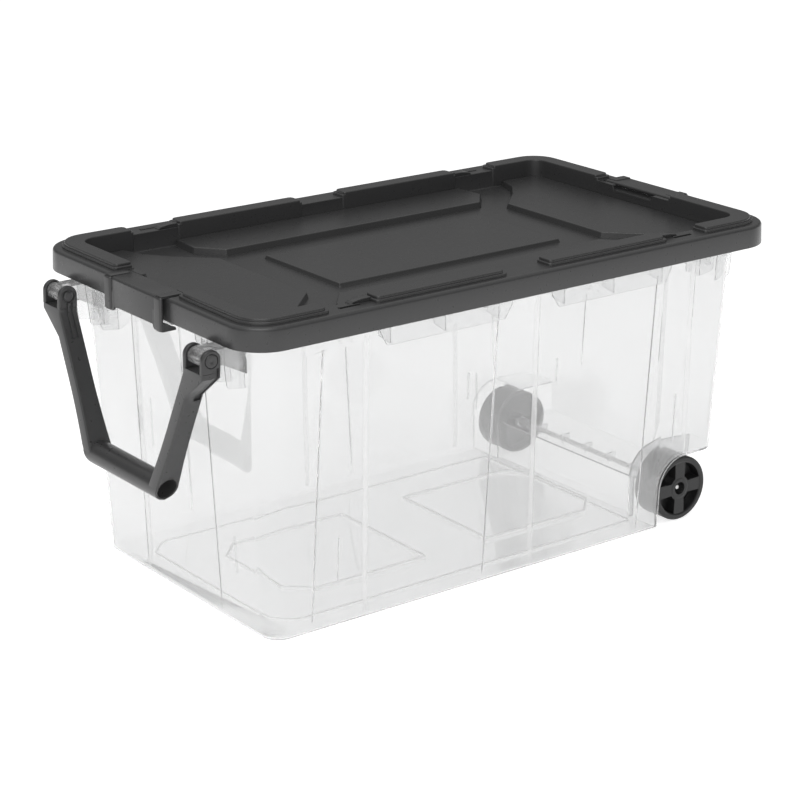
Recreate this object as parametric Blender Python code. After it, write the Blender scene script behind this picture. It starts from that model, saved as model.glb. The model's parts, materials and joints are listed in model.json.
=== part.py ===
"""Wheeled storage tote: clear tub, lift-off lid, two latches, pull handle, axle and wheels.

Frame: +X along the length towards the wheels, +Z up, origin at the bottom centre. Metres.
"""
import math

import bmesh
import bpy
from mathutils import Matrix, Vector

# Lid outline
LID_HALF_X = 0.4625
LID_HALF_Y = 0.270
LID_CORNER = 0.055
LID_TOP = 0.466
SHOULDER_TOP = 0.4585
SHELL = 0.0028
SKIRT_BOTTOM = 0.4263
RECESS_HALF_X = 0.420
RECESS_HALF_Y = 0.227
RECESS_FLOOR = 0.431
BLOCK_HALF_X = 0.4495
BLOCK_HALF_Y = 0.257
GAP_HALF = 0.0365
GAP_X = 0.293
LATCH_HALF = 0.0725
LATCH_BAY_HALF = 0.0795

# Tub
TUB_TOP = 0.4472
BASE_HALF_X = 0.402
BASE_HALF_Y = 0.219
JOG_LOW = 0.400
JOG_HIGH = 0.416
JOG_HALF_X = 0.4212
RIM_HALF_X = 0.4305
RIM_HALF_Y = 0.2403
BASE_CORNER = 0.030
RIM_CORNER = 0.045
WALL = 0.0026
FLOOR = 0.003
LIP_HALF_X = 0.4577
LIP_HALF_Y = 0.2652
LIP_BOTTOM = 0.4285
CHANNEL_DEPTH = 0.004
CHANNEL_SLOPE = 0.005
CHANNEL_HALF = 0.0455
CHANNEL_NARROWING = 0.022
END_CHANNEL_HALF = 0.096
END_CHANNEL_NARROWING = 0.017
FLAP_BOTTOM = 0.401
FLAP_SHOULDER = 0.421
FLAP_ENDS = (0.035, 0.257)
FLAP_FOOT = (0.048, 0.246)
LIP_THICK = 0.0022
RIB_HALF = 0.0011
FLAP_RIBS_X = (0.058, 0.149, 0.240)
END_RIBS_Y = (0.127, 0.156, 0.190)
RIB_TOP = TUB_TOP - 0.0017
CATCH_X = (0.4285, 0.4525)
CATCH_HALF_Y = 0.069
CATCH_Z = (0.4185, 0.4215)
FLOOR_FIELDS = ((-0.288, -0.056), (0.056, 0.283))
FIELD_HALF_Y = 0.105

# Wheels and axle
AXLE_X = 0.344
AXLE_R = 0.004
AXLE_HALF_Y = 0.205
WHEEL_R = 0.050
WHEEL_FACE_Y = 0.2115
WHEEL_BACK_Y = 0.1645
BORE_R = 0.00408
HUB_FLOOR_Y = 0.1965
HUB_RECESS_R = 0.0098
POCKET_FLOOR_Y = 0.1945
NUT_R = 0.0075
NUT_THICK = 0.0012
NUT_COLLAR_R = 0.0052
BOSS_R = 0.0090
BOSS_Y = (0.1400, 0.1642)
SADDLES_Y = (-0.108, -0.054, 0.0, 0.054, 0.108)
STEP_X = 0.2915
MIDDLE_STEP_X = 0.300
STEP_Z = 0.060
WELL_Y = 0.158
WELL_TOP = 0.1085

# Pull handle
PIVOT_X = -0.4785
PIVOT_Z = 0.409
FORK_Y = 0.182
FORK_HALF = 0.0235
SLOT_HALF = 0.0165
SLOT_BOTTOM = 0.390
ARM_HALF_X = 0.0142
ARM_SLOPE = 0.468
ARM_OUTER = (0.165, 0.3524)
ARM_INNER_Z = 0.385
GRIP_Z = 0.204
GRIP_R = 0.0178
GRIP_BORE_R = 0.0145
HANDLE_LEAN = math.radians(1.25)
PIN_R = 0.0045
PIN_HEAD_R = 0.0090
PIN_SNAP_R = 0.0068
PIN_SEAT_R = 0.0093
PIN_HEAD_Y = (0.2031, 0.2064)
PIN_SNAP_Y = (0.1573, 0.1609)
KNUCKLE_R = 0.0112

# Latches
LATCH_HINGE_X = 0.4342
LATCH_HINGE_Z = 0.4565
LATCH_BARREL_R = 0.0030
LATCH_PIN_R = 0.0016
LATCH_FRONT_X = 0.4695
LATCH_PIN_Y = 0.0764
LATCH_BOTTOM = 0.412
HOOK_X = 0.447
SHARP = math.radians(30)

for leftover in list(bpy.data.objects):
    bpy.data.objects.remove(leftover, do_unlink=True)

parts = bpy.data.collections.new("wheeled_storage_tote")
cutters = bpy.data.collections.new("cutters")
bpy.context.scene.collection.children.link(parts)
bpy.context.scene.collection.children.link(cutters)


def material(name, rgba, rough, transmission=0.0):
    made = bpy.data.materials.new(name)
    made.use_nodes = True
    shader = made.node_tree.nodes["Principled BSDF"]
    shader.inputs["Base Color"].default_value = rgba
    shader.inputs["Roughness"].default_value = rough
    shader.inputs["Transmission Weight"].default_value = transmission
    return made


clear_plastic = material("clear_plastic", (0.86, 0.88, 0.89, 0.35), 0.18, 0.8)
grey_plastic = material("grey_plastic", (0.085, 0.085, 0.085, 1.0), 0.45)
black_plastic = material("black_plastic", (0.025, 0.025, 0.025, 1.0), 0.5)
steel = material("axle_steel", (0.6, 0.6, 0.6, 1.0), 0.25)
steel.node_tree.nodes["Principled BSDF"].inputs["Metallic"].default_value = 1.0


def new_object(name, bm, home=cutters, paint=None):
    """Make an object from a bmesh, normals outward."""
    bmesh.ops.recalc_face_normals(bm, faces=bm.faces)
    mesh = bpy.data.meshes.new(name)
    bm.to_mesh(mesh)
    bm.free()
    made = bpy.data.objects.new(name, mesh)
    home.objects.link(made)
    if home is cutters:
        made.hide_render = True
        made.display_type = "WIRE"
    if paint:
        mesh.materials.append(paint)
    return made


def add_loft(bm, rings):
    """Skin a list of equal-length closed rings and cap both ends."""
    rows = [[bm.verts.new(point) for point in ring] for ring in rings]
    count = len(rows[0])
    for low, high in zip(rows, rows[1:]):
        for i in range(count):
            j = (i + 1) % count
            bm.faces.new((low[i], low[j], high[j], high[i]))
    bm.faces.new(list(reversed(rows[0])))
    bm.faces.new(rows[-1])


def rounded(half_x, half_y, radius, z, steps=8):
    """Ring of points round a rounded rectangle."""
    ring = []
    for quarter, (sx, sy) in enumerate(((1, 1), (-1, 1), (-1, -1), (1, -1))):
        centre_x = sx * (half_x - radius)
        centre_y = sy * (half_y - radius)
        for i in range(steps + 1):
            angle = math.radians(90 * quarter + 90 * i / steps)
            ring.append((centre_x + radius * math.cos(angle), centre_y + radius * math.sin(angle), z))
    return ring


def add_prism(bm, outline, low, high):
    """Extrude a closed outline of (x, y) points between two heights."""
    add_loft(bm, [[(x, y, low) for x, y in outline], [(x, y, high) for x, y in outline]])


def add_box(bm, low, high):
    """Axis-aligned box between two corners, given in any order."""
    low = Vector(low)
    high = Vector(high)
    size = high - low
    place = Matrix.Translation((low + high) / 2) @ Matrix.Diagonal((abs(size.x), abs(size.y), abs(size.z), 1.0))
    bmesh.ops.create_cube(bm, size=1.0, matrix=place)


def add_rod(bm, radius, start, end, sides=32):
    """Cylinder between two points."""
    start = Vector(start)
    end = Vector(end)
    turn = Vector((0, 0, 1)).rotation_difference(end - start).to_matrix().to_4x4()
    place = Matrix.Translation((start + end) / 2) @ turn
    bmesh.ops.create_cone(bm, cap_ends=True, segments=sides, radius1=radius, radius2=radius,
                          depth=(end - start).length, matrix=place)


def add_plate(bm, outline, low_y, high_y):
    """Extrude a closed outline of (x, z) points between two y values."""
    add_loft(bm, [[(x, low_y, z) for x, z in outline], [(x, high_y, z) for x, z in outline]])


def boolean(target, cutter, operation):
    """Apply an exact Boolean of the cutter to the target."""
    modifier = target.modifiers.new(operation.lower(), "BOOLEAN")
    modifier.operation = operation
    modifier.object = cutter
    modifier.solver = "EXACT"
    settled = target.evaluated_get(bpy.context.evaluated_depsgraph_get())
    mesh = bpy.data.meshes.new_from_object(settled)
    target.modifiers.clear()
    target.data = mesh


def tidy(target):
    """Merge coincident points and turn normals outward."""
    bm = bmesh.new()
    bm.from_mesh(target.data)
    bmesh.ops.remove_doubles(bm, verts=bm.verts, dist=0.00002)
    bmesh.ops.dissolve_degenerate(bm, edges=bm.edges, dist=0.00001)
    bmesh.ops.recalc_face_normals(bm, faces=bm.faces)
    bm.to_mesh(target.data)
    bm.free()


def set_origin(target, point):
    """Move the origin to a point without moving the mesh."""
    target.data.transform(Matrix.Translation(-Vector(point)))
    target.location = point


# ---- tub ----
def tub_half(z):
    """Half length and half width of the tapered tub at a height; the ends jog outward near the top."""
    jog = min(1.0, max(0.0, (z - JOG_LOW) / (JOG_HIGH - JOG_LOW)))
    return (BASE_HALF_X + (JOG_HALF_X - BASE_HALF_X) * min(z, JOG_LOW) / JOG_LOW + (RIM_HALF_X - JOG_HALF_X) * jog,
            BASE_HALF_Y + (RIM_HALF_Y - BASE_HALF_Y) * z / TUB_TOP)


def side_stops(channels, depth):
    """Positions and insets along one wall, from its + end to its - end."""
    stops = []
    for centre, width in channels:
        inner = width - CHANNEL_SLOPE
        stops += [(centre + width, 0.0), (centre + inner, depth), (centre - inner, depth), (centre - width, 0.0)]
    return stops


def tub_ring(z, inset):
    """Outline of the tub at a height, with the shallow vertical channels in its walls."""
    half_x, half_y = tub_half(z)
    half_x -= inset
    half_y -= inset
    radius = BASE_CORNER + (RIM_CORNER - BASE_CORNER) * z / TUB_TOP - inset
    fade = min(1.0, z / 0.02, max(0.0, (JOG_HIGH - z) / (JOG_HIGH - JOG_LOW)))
    depth = max(CHANNEL_DEPTH * fade, 0.0001)
    half = CHANNEL_HALF - CHANNEL_NARROWING * z
    long_channels = [(GAP_X, half), (0.0, half), (-GAP_X, half)]
    end_channel = [(0.0, END_CHANNEL_HALF - END_CHANNEL_NARROWING * z)]
    ring = []
    for quarter, (sx, sy) in enumerate(((1, 1), (-1, 1), (-1, -1), (1, -1))):
        for i in range(7):
            angle = math.radians(90 * quarter + 15 * i)
            ring.append((sx * (half_x - radius) + radius * math.cos(angle),
                         sy * (half_y - radius) + radius * math.sin(angle), z))
        if quarter == 0:
            ring += [(s, half_y - d, z) for s, d in side_stops(long_channels, depth)]
        if quarter == 1:
            ring += [(-half_x + d, s, z) for s, d in side_stops(end_channel, depth)]
        if quarter == 2:
            ring += [(-s, -half_y + d, z) for s, d in side_stops(long_channels, depth)]
        if quarter == 3:
            ring += [(half_x - d, -s, z) for s, d in side_stops(end_channel, depth)]
    return ring


def tub_shell(name, inset, bottom, top):
    """Tapered solid with a softened bottom edge."""
    bm = bmesh.new()
    levels = [bottom + 0.007, 0.06, JOG_LOW, JOG_HIGH, top]
    rings = [tub_ring(bottom, inset + 0.006), tub_ring(bottom + 0.002, inset + 0.0025)]
    rings += [tub_ring(z, inset) for z in levels]
    flat = [[(x, y, bottom) for x, y, z in rings[0]]]
    add_loft(bm, flat + rings[1:])
    return new_object(name, bm)


def arch_outline(grow):
    """Side outline of a wheel well: upright front, round shoulder, flat roof."""
    left = STEP_X - grow
    top = WELL_TOP + grow
    radius = 0.046 + grow
    points = [(0.50, -0.02), (0.50, top), (left + radius, top)]
    for i in range(1, 9):
        angle = math.radians(90 + 90 * i / 8)
        points.append((left + radius + radius * math.cos(angle), top - radius + radius * math.sin(angle)))
    points.append((left, -0.02))
    return points


def well_cutter(name, grow):
    """Space taken out of the wheel end: two arches and the low step between them."""
    bm = bmesh.new()
    for side in (-1, 1):
        inner = side * (WELL_Y - grow)
        outer = side * 0.30
        add_plate(bm, arch_outline(grow), min(inner, outer), max(inner, outer))
    made = new_object(name, bm)
    bm = bmesh.new()
    add_box(bm, (MIDDLE_STEP_X - grow, -0.20, -0.02), (0.50, 0.20, STEP_Z + grow))
    step = new_object(name + "_step", bm)
    boolean(made, step, "UNION")
    return made


def rim_frame():
    """Flange outward from the wall top with a lip turned down."""
    bm = bmesh.new()
    add_loft(bm, [rounded(LIP_HALF_X, LIP_HALF_Y, 0.052, z, 6) for z in (LIP_BOTTOM, TUB_TOP)])
    frame = new_object("rim_outer", bm)
    bm = bmesh.new()
    add_loft(bm, [rounded(LIP_HALF_X - LIP_THICK, LIP_HALF_Y - LIP_THICK, 0.050, z, 6)
                  for z in (0.40, TUB_TOP - 0.0025)])
    boolean(frame, new_object("rim_under", bm), "DIFFERENCE")
    bm = bmesh.new()
    add_loft(bm, [tub_ring(z, 0.001) for z in (0.40, 0.47)])
    boolean(frame, new_object("rim_mouth", bm), "DIFFERENCE")
    return frame


def add_flaps(bm):
    """Finger flaps: the lip carried down on each long side."""
    for side in (-1, 1):
        for sign in (-1, 1):
            outline = [(FLAP_ENDS[0], LIP_BOTTOM + 0.0015), (FLAP_ENDS[1], LIP_BOTTOM + 0.0015)]
            outline += [(FLAP_ENDS[1], FLAP_SHOULDER), (FLAP_FOOT[1], FLAP_BOTTOM)]
            outline += [(FLAP_FOOT[0], FLAP_BOTTOM), (FLAP_ENDS[0], FLAP_SHOULDER)]
            outer = side * LIP_HALF_Y
            inner = side * (LIP_HALF_Y - LIP_THICK)
            add_plate(bm, [(sign * x, z) for x, z in outline], min(inner, outer), max(inner, outer))


def add_flap_ribs(bm):
    """Ribs that tie the flaps to the wall."""
    for side in (-1, 1):
        for sign in (-1, 1):
            for x in FLAP_RIBS_X:
                add_box(bm, (sign * x - RIB_HALF, side * 0.2370, FLAP_BOTTOM + 0.003),
                        (sign * x + RIB_HALF, side * (LIP_HALF_Y - 0.001), RIB_TOP))


def add_end_ribs(bm):
    """Upright ribs under the rim at both ends."""
    outline = [(0.4177, 0.3580), (0.4470, 0.3640), (0.4565, RIB_TOP), (0.4290, RIB_TOP), (0.4290, JOG_HIGH + 0.002),
               (0.4190, JOG_LOW)]
    for end in (-1, 1):
        for y in END_RIBS_Y:
            for side in (-1, 1):
                add_plate(bm, [(end * x, z) for x, z in outline], side * y - RIB_HALF, side * y + RIB_HALF)


def add_catches(bm):
    """Ledge on each end wall that the latch hook sits under."""
    for end in (-1, 1):
        add_box(bm, (end * CATCH_X[0], -CATCH_HALF_Y, CATCH_Z[0]), (end * CATCH_X[1], CATCH_HALF_Y, CATCH_Z[1]))


def add_lug(bm, side):
    """Knuckle block that carries one fork of the handle."""
    outline = []
    for i in range(11):
        angle = math.radians(90 + 18 * i)
        outline.append((PIVOT_X + KNUCKLE_R * math.cos(angle), PIVOT_Z + KNUCKLE_R * math.sin(angle)))
    outline += [(-0.4560, PIVOT_Z - KNUCKLE_R), (-0.4190, PIVOT_Z - 0.0300), (-0.4200, PIVOT_Z + KNUCKLE_R)]
    centre = side * FORK_Y
    add_plate(bm, outline, centre - SLOT_HALF + 0.0004, centre + SLOT_HALF - 0.0004)


def add_saddles(bm):
    """Ribs under the low step that the axle is snapped into."""
    for y in SADDLES_Y:
        outline = [(AXLE_X - 0.0090, STEP_Z + 0.001), (AXLE_X - 0.0065, 0.0440), (AXLE_X + 0.0065, 0.0440),
                   (AXLE_X + 0.0090, STEP_Z + 0.001)]
        add_plate(bm, outline, y - 0.0012, y + 0.0012)
    for side in (-1, 1):
        outline = [(0.2985, STEP_Z + 0.0015), (0.2985, 0.0120), (0.3300, 0.0120), (0.3580, 0.0360),
                   (0.3720, STEP_Z + 0.0015)]
        low = min(side * 0.1556, side * WELL_Y)
        add_plate(bm, outline, low, low + 0.0024)


def add_floor_steps(bm):
    """Raised field of the floor, with clipped corners."""
    low = FLOOR - 0.001
    half = FIELD_HALF_Y
    for left, right in FLOOR_FIELDS:
        clip_left = 0.035 if left < -0.2 else 0.004
        clip_right = 0.035 if right > 0.2 else 0.004
        outline = [(left + clip_left, -half), (right - clip_right, -half), (right, -half + clip_right),
                   (right, half - clip_right), (right - clip_right, half), (left + clip_left, half),
                   (left, half - clip_left), (left, -half + clip_left)]
        add_prism(bm, outline, low, FLOOR + 0.004)


def build_tub():
    """Hollow tapered tub with wheel wells, rim, flaps, ribs and lugs."""
    tub = tub_shell("tub", 0.0, 0.0, TUB_TOP)
    boolean(tub, well_cutter("wells", 0.0), "DIFFERENCE")
    hollow = tub_shell("hollow", WALL, FLOOR, TUB_TOP + 0.01)
    boolean(hollow, well_cutter("well_walls", WALL), "DIFFERENCE")
    boolean(tub, hollow, "DIFFERENCE")
    boolean(tub, rim_frame(), "UNION")
    for name, adder in (("flaps", add_flaps), ("flap_ribs", add_flap_ribs), ("end_ribs", add_end_ribs),
                        ("catches", add_catches), ("saddles", add_saddles), ("floor_steps", add_floor_steps)):
        bm = bmesh.new()
        adder(bm)
        boolean(tub, new_object(name, bm), "UNION")
    for side in (-1, 1):
        bm = bmesh.new()
        add_lug(bm, side)
        boolean(tub, new_object("lug", bm), "UNION")
    bm = bmesh.new()
    for side in (-1, 1):
        add_rod(bm, BOSS_R, (AXLE_X, side * BOSS_Y[0], WHEEL_R), (AXLE_X, side * BOSS_Y[1], WHEEL_R), 24)
    boolean(tub, new_object("axle_bosses", bm), "UNION")
    bm = bmesh.new()
    for side in (-1, 1):
        add_rod(bm, PIN_R + 0.0001, (PIVOT_X, side * 0.152, PIVOT_Z), (PIVOT_X, side * 0.212, PIVOT_Z), 24)
    add_rod(bm, AXLE_R + 0.0001, (AXLE_X, -0.30, WHEEL_R), (AXLE_X, 0.30, WHEEL_R), 32)
    boolean(tub, new_object("tub_bores", bm), "DIFFERENCE")
    bm = bmesh.new()
    add_box(bm, (AXLE_X - 0.0036, -0.13, 0.035), (AXLE_X + 0.0036, 0.13, WHEEL_R))
    boolean(tub, new_object("saddle_mouths", bm), "DIFFERENCE")
    return finish(tub, clear_plastic)


def finish(target, paint):
    """Move a finished solid into the parts collection."""
    tidy(target)
    target.data.materials.clear()
    target.data.materials.append(paint)
    target.data.shade_smooth()
    target.data.set_sharp_from_angle(angle=SHARP)
    cutters.objects.unlink(target)
    parts.objects.link(target)
    target.hide_render = False
    target.display_type = "TEXTURED"
    return target


# ---- lid ----
def corner_band(end, side, outer_in, inner_in):
    """L-shaped outline of one raised corner block; the insets shrink it."""
    gap = GAP_X + GAP_HALF + outer_in
    bay = LATCH_BAY_HALF + outer_in
    out_x = BLOCK_HALF_X - outer_in
    out_y = BLOCK_HALF_Y - outer_in
    in_x = RECESS_HALF_X + inner_in
    in_y = RECESS_HALF_Y + inner_in
    outline = [(gap, in_y), (gap, out_y)]
    for i in range(7):
        angle = math.radians(90 - 15 * i)
        radius = 0.042 - outer_in
        outline.append((out_x - radius + radius * math.cos(angle), out_y - radius + radius * math.sin(angle)))
    outline += [(out_x, bay), (in_x, bay)]
    for i in range(5):
        angle = math.radians(22.5 * i)
        radius = 0.022 - outer_in / 2 + inner_in
        outline.append((in_x - radius + radius * math.cos(angle), in_y - radius + radius * math.sin(angle)))
    points = [(end * x, side * y) for x, y in outline]
    return points


def block_outlines(outer_in, inner_in):
    """Outlines of the eight raised blocks round the lid."""
    outlines = [corner_band(end, side, outer_in, inner_in) for end in (-1, 1) for side in (-1, 1)]
    low = GAP_HALF + outer_in
    high = GAP_X - GAP_HALF - outer_in
    for side in (-1, 1):
        near = side * (RECESS_HALF_Y + inner_in)
        far = side * (BLOCK_HALF_Y - outer_in)
        for sign in (-1, 1):
            outlines.append([(sign * low, near), (sign * high, near), (sign * high, far), (sign * low, far)])
    return outlines


def field_outlines(grow):
    """Outlines and tops of the raised fields inside the lid's recess."""
    fields = []
    for end in (-1, 1):
        inner = 0.260 + grow
        outline = [(0.4215 - grow, -0.205), (0.4215 - grow, 0.205), (0.335, 0.190), (0.308, 0.155)]
        outline += [(inner, 0.108 - grow), (inner, -0.108 + grow), (0.308, -0.155), (0.335, -0.190)]
        shrunk = [(end * x, y * (1 - grow * 6)) for x, y in outline]
        fields.append((shrunk, 0.4395))
    for side in (-1, 1):
        outline = [(-0.262, 0.2285), (0.262, 0.2285), (0.266, 0.175), (0.233, 0.135), (-0.233, 0.135),
                   (-0.266, 0.175)]
        middle = 0.181
        fields.append(([(x * (1 - grow * 4), side * (middle + (y - middle) * (1 - grow * 25)))
                        for x, y in outline], 0.4405))
    outline = [(-0.199, -0.0925), (0.199, -0.0925), (0.199, 0.0925), (-0.199, 0.0925)]
    fields.append(([(x * (1 - grow * 6), y * (1 - grow * 12)) for x, y in outline], 0.4365))
    return fields


def prisms_object(name, outlines):
    """One cutter holding several prisms, each (outline, low, high)."""
    bm = bmesh.new()
    for outline, low, high in outlines:
        add_prism(bm, outline, low, high)
    return new_object(name, bm)


def build_lid():
    """Shell with skirt, shoulder, deep recess, raised blocks and raised fields."""
    bm = bmesh.new()
    add_loft(bm, [rounded(LID_HALF_X, LID_HALF_Y, LID_CORNER, SKIRT_BOTTOM),
                  rounded(LID_HALF_X, LID_HALF_Y, LID_CORNER, SHOULDER_TOP - 0.003),
                  rounded(LID_HALF_X - 0.0009, LID_HALF_Y - 0.0009, LID_CORNER - 0.0009, SHOULDER_TOP - 0.0009),
                  rounded(LID_HALF_X - 0.003, LID_HALF_Y - 0.003, LID_CORNER - 0.003, SHOULDER_TOP)])
    lid = new_object("lid", bm)
    bm = bmesh.new()
    inside = LID_HALF_X - SHELL
    inside_y = LID_HALF_Y - SHELL
    under = SHOULDER_TOP - SHELL
    add_loft(bm, [rounded(inside, inside_y, LID_CORNER - SHELL, z) for z in (0.40, under)])
    boolean(lid, new_object("lid_under", bm), "DIFFERENCE")
    blocks = prisms_object("blocks", [(o, under, LID_TOP) for o in block_outlines(0.0, 0.0)])
    boolean(lid, blocks, "UNION")
    bm = bmesh.new()
    outer_x = RECESS_HALF_X + SHELL
    outer_y = RECESS_HALF_Y + SHELL
    add_loft(bm, [rounded(outer_x, outer_y, 0.025, z) for z in (RECESS_FLOOR - SHELL, SHOULDER_TOP - 0.001)])
    boolean(lid, new_object("recess_shell", bm), "UNION")
    bm = bmesh.new()
    add_loft(bm, [rounded(RECESS_HALF_X, RECESS_HALF_Y, 0.022, z) for z in (RECESS_FLOOR, 0.48)])
    boolean(lid, new_object("recess", bm), "DIFFERENCE")
    tops = prisms_object("fields", [(o, RECESS_FLOOR - 0.001, t) for o, t in field_outlines(0.0)])
    boolean(lid, tops, "UNION")
    hollows = [(o, 0.40, t - SHELL) for o, t in field_outlines(SHELL)]
    hollows += [(o, 0.44, LID_TOP - SHELL) for o in block_outlines(SHELL, 2 * SHELL)]
    boolean(lid, prisms_object("hollows", hollows), "DIFFERENCE")
    cut_latch_bays(lid)
    return finish(lid, grey_plastic)


def cut_latch_bays(lid):
    """Trough for each latch barrel, with its pin holes, and a shallow rest for the latch top."""
    bm = bmesh.new()
    for end in (-1, 1):
        low = min(end * 0.4215, end * 0.4420)
        add_box(bm, (low, -0.0790, 0.4480), (low + 0.0205, 0.0790, SHOULDER_TOP - 0.0005))
    boolean(lid, new_object("troughs", bm), "UNION")
    bm = bmesh.new()
    for end in (-1, 1):
        low = min(end * 0.4292, end * 0.4394)
        add_box(bm, (low, -0.0729, 0.4507), (low + 0.0102, 0.0729, 0.4600))
    boolean(lid, new_object("barrel_pockets", bm), "DIFFERENCE")
    bm = bmesh.new()
    for end in (-1, 1):
        low = min(end * 0.4150, end * 0.4750)
        add_box(bm, (low, -0.0757, 0.4570), (low + 0.0600, 0.0757, 0.4800))
    boolean(lid, new_object("latch_rests", bm), "DIFFERENCE")
    bm = bmesh.new()
    for end in (-1, 1):
        add_rod(bm, LATCH_PIN_R + 0.0003, (end * LATCH_HINGE_X, -0.0768, LATCH_HINGE_Z),
                (end * LATCH_HINGE_X, 0.0768, LATCH_HINGE_Z), 20)
    boolean(lid, new_object("hinge_holes", bm), "DIFFERENCE")


# ---- latches ----
def build_latch(name, end):
    """C-shaped latch: hinge barrel, top plate, front plate and hook under the catch."""
    top = LATCH_HINGE_Z + 0.0030
    front = LATCH_FRONT_X
    outer = [(0.4342, top), (front - 0.0030, top), (front - 0.0008, top - 0.0010), (front, top - 0.0032)]
    outer += [(front, 0.4135), (front - 0.0015, LATCH_BOTTOM), (HOOK_X + 0.0005, LATCH_BOTTOM), (HOOK_X, 0.4153)]
    outer += [(0.4645, 0.4153), (0.4668, 0.4175), (0.4668, top - 0.0040), (0.4655, top - 0.0023)]
    outer += [(0.4342, top - 0.0023)]
    bm = bmesh.new()
    add_plate(bm, [(end * x, z) for x, z in outer], -LATCH_HALF, LATCH_HALF)
    latch = new_object(name, bm)
    bm = bmesh.new()
    add_rod(bm, LATCH_BARREL_R, (end * LATCH_HINGE_X, -LATCH_HALF, LATCH_HINGE_Z),
            (end * LATCH_HINGE_X, LATCH_HALF, LATCH_HINGE_Z), 24)
    boolean(latch, new_object(name + "_barrel", bm), "UNION")
    bm = bmesh.new()
    add_rod(bm, LATCH_PIN_R, (end * LATCH_HINGE_X, -LATCH_PIN_Y, LATCH_HINGE_Z),
            (end * LATCH_HINGE_X, LATCH_PIN_Y, LATCH_HINGE_Z), 20)
    boolean(latch, new_object(name + "_pins", bm), "UNION")
    bm = bmesh.new()
    add_box(bm, (end * 0.440, -0.0600, 0.400), (end * 0.480, 0.0600, 0.4182))
    boolean(latch, new_object(name + "_middle", bm), "DIFFERENCE")
    bm = bmesh.new()
    for side in (-1, 1):
        edge = side * LATCH_HALF
        inner = side * (LATCH_HALF - 0.0100)
        add_box(bm, (end * (front - 0.0005), inner, 0.4140), (end * (front + 0.0022), edge, 0.4550))
    boolean(latch, new_object(name + "_beads", bm), "UNION")
    bm = bmesh.new()
    for side in (-1, 1):
        web = [(HOOK_X + 0.0020, 0.4130), (front - 0.0012, 0.4130), (front - 0.0012, 0.4250), (0.4655, 0.4250),
               (0.4600, 0.4225), (0.4550, 0.4192), (HOOK_X + 0.0020, 0.4162)]
        ends = sorted((side * (CATCH_HALF_Y + 0.0007), side * (LATCH_HALF - 0.0005)))
        add_plate(bm, [(end * x, z) for x, z in web], ends[0], ends[1])
    boolean(latch, new_object(name + "_hook_ends", bm), "UNION")
    finish(latch, grey_plastic)
    set_origin(latch, (end * LATCH_HINGE_X, 0.0, LATCH_HINGE_Z))
    return latch


# ---- handle ----
def arm_outer(z):
    """Distance of an arm's outer edge from the middle at a height."""
    return ARM_OUTER[0] + (z - ARM_OUTER[1]) * ARM_SLOPE


def arm_inner(z):
    """Distance of an arm's inner edge from the middle at a height."""
    return FORK_Y - FORK_HALF + (z - ARM_INNER_Z) * ARM_SLOPE


def arm_outline(side):
    """Front outline of one arm and its fork, in (y, z)."""
    top = PIVOT_Z + ARM_HALF_X
    foot = GRIP_Z - 0.0130
    points = [(FORK_Y - FORK_HALF, top), (FORK_Y + FORK_HALF, top), (FORK_Y + FORK_HALF, ARM_INNER_Z), ARM_OUTER]
    points += [(arm_outer(foot), foot), (arm_inner(foot), foot), (FORK_Y - FORK_HALF, ARM_INNER_Z)]
    return [(side * y, z) for y, z in points]


def build_handle():
    """U-shaped pull handle: two forked arms and a hollow grip."""
    bm = bmesh.new()
    add_rod(bm, GRIP_R, (PIVOT_X, -0.1100, GRIP_Z), (PIVOT_X, 0.1100, GRIP_Z), 32)
    handle = new_object("pull_handle", bm)
    bm = bmesh.new()
    for side in (-1, 1):
        rings = [[(PIVOT_X + x, y, z) for y, z in arm_outline(side)] for x in (-ARM_HALF_X, ARM_HALF_X)]
        add_loft(bm, rings)
    boolean(handle, new_object("arms", bm), "UNION")
    boolean(handle, grip_ends(), "DIFFERENCE")
    bm = bmesh.new()
    add_rod(bm, GRIP_BORE_R, (PIVOT_X, -0.13, GRIP_Z), (PIVOT_X, 0.13, GRIP_Z), 28)
    boolean(handle, new_object("grip_bore", bm), "DIFFERENCE")
    bm = bmesh.new()
    for side in (-1, 1):
        centre = side * FORK_Y
        add_box(bm, (PIVOT_X - 0.03, centre - SLOT_HALF, SLOT_BOTTOM), (PIVOT_X + 0.03, centre + SLOT_HALF, 0.44))
    boolean(handle, new_object("fork_slots", bm), "DIFFERENCE")
    boolean(handle, fork_rounder(), "INTERSECT")
    bm = bmesh.new()
    for side in (-1, 1):
        add_rod(bm, PIN_R + 0.0001, (PIVOT_X, side * 0.15, PIVOT_Z), (PIVOT_X, side * 0.215, PIVOT_Z), 24)
    boolean(handle, new_object("pin_bores", bm), "DIFFERENCE")
    bm = bmesh.new()
    for side in (-1, 1):
        for inner, outer in ((PIN_SNAP_Y[0] - 0.003, PIN_SNAP_Y[1] + 0.0004),
                             (PIN_HEAD_Y[0] - 0.0004, PIN_HEAD_Y[1] + 0.003)):
            add_rod(bm, PIN_SEAT_R, (PIVOT_X, side * inner, PIVOT_Z), (PIVOT_X, side * outer, PIVOT_Z), 24)
    boolean(handle, new_object("pin_seats", bm), "DIFFERENCE")
    finish(handle, grey_plastic)
    set_origin(handle, (PIVOT_X, 0.0, PIVOT_Z))
    handle.data.transform(Matrix.Rotation(HANDLE_LEAN, 4, "Y"))
    return handle


def grip_ends():
    """Wedges that trim the grip's ends flush with the slanted outer faces of the arms."""
    low = GRIP_Z - 0.030
    high = GRIP_Z + 0.040
    bm = bmesh.new()
    for side in (-1, 1):
        wedge = [(side * arm_outer(low), low), (side * arm_outer(high), high), (side * 0.145, high)]
        wedge.append((side * 0.145, low))
        add_loft(bm, [[(x, y, z) for y, z in wedge] for x in (PIVOT_X - 0.03, PIVOT_X + 0.03)])
    return new_object("grip_ends", bm)


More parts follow.
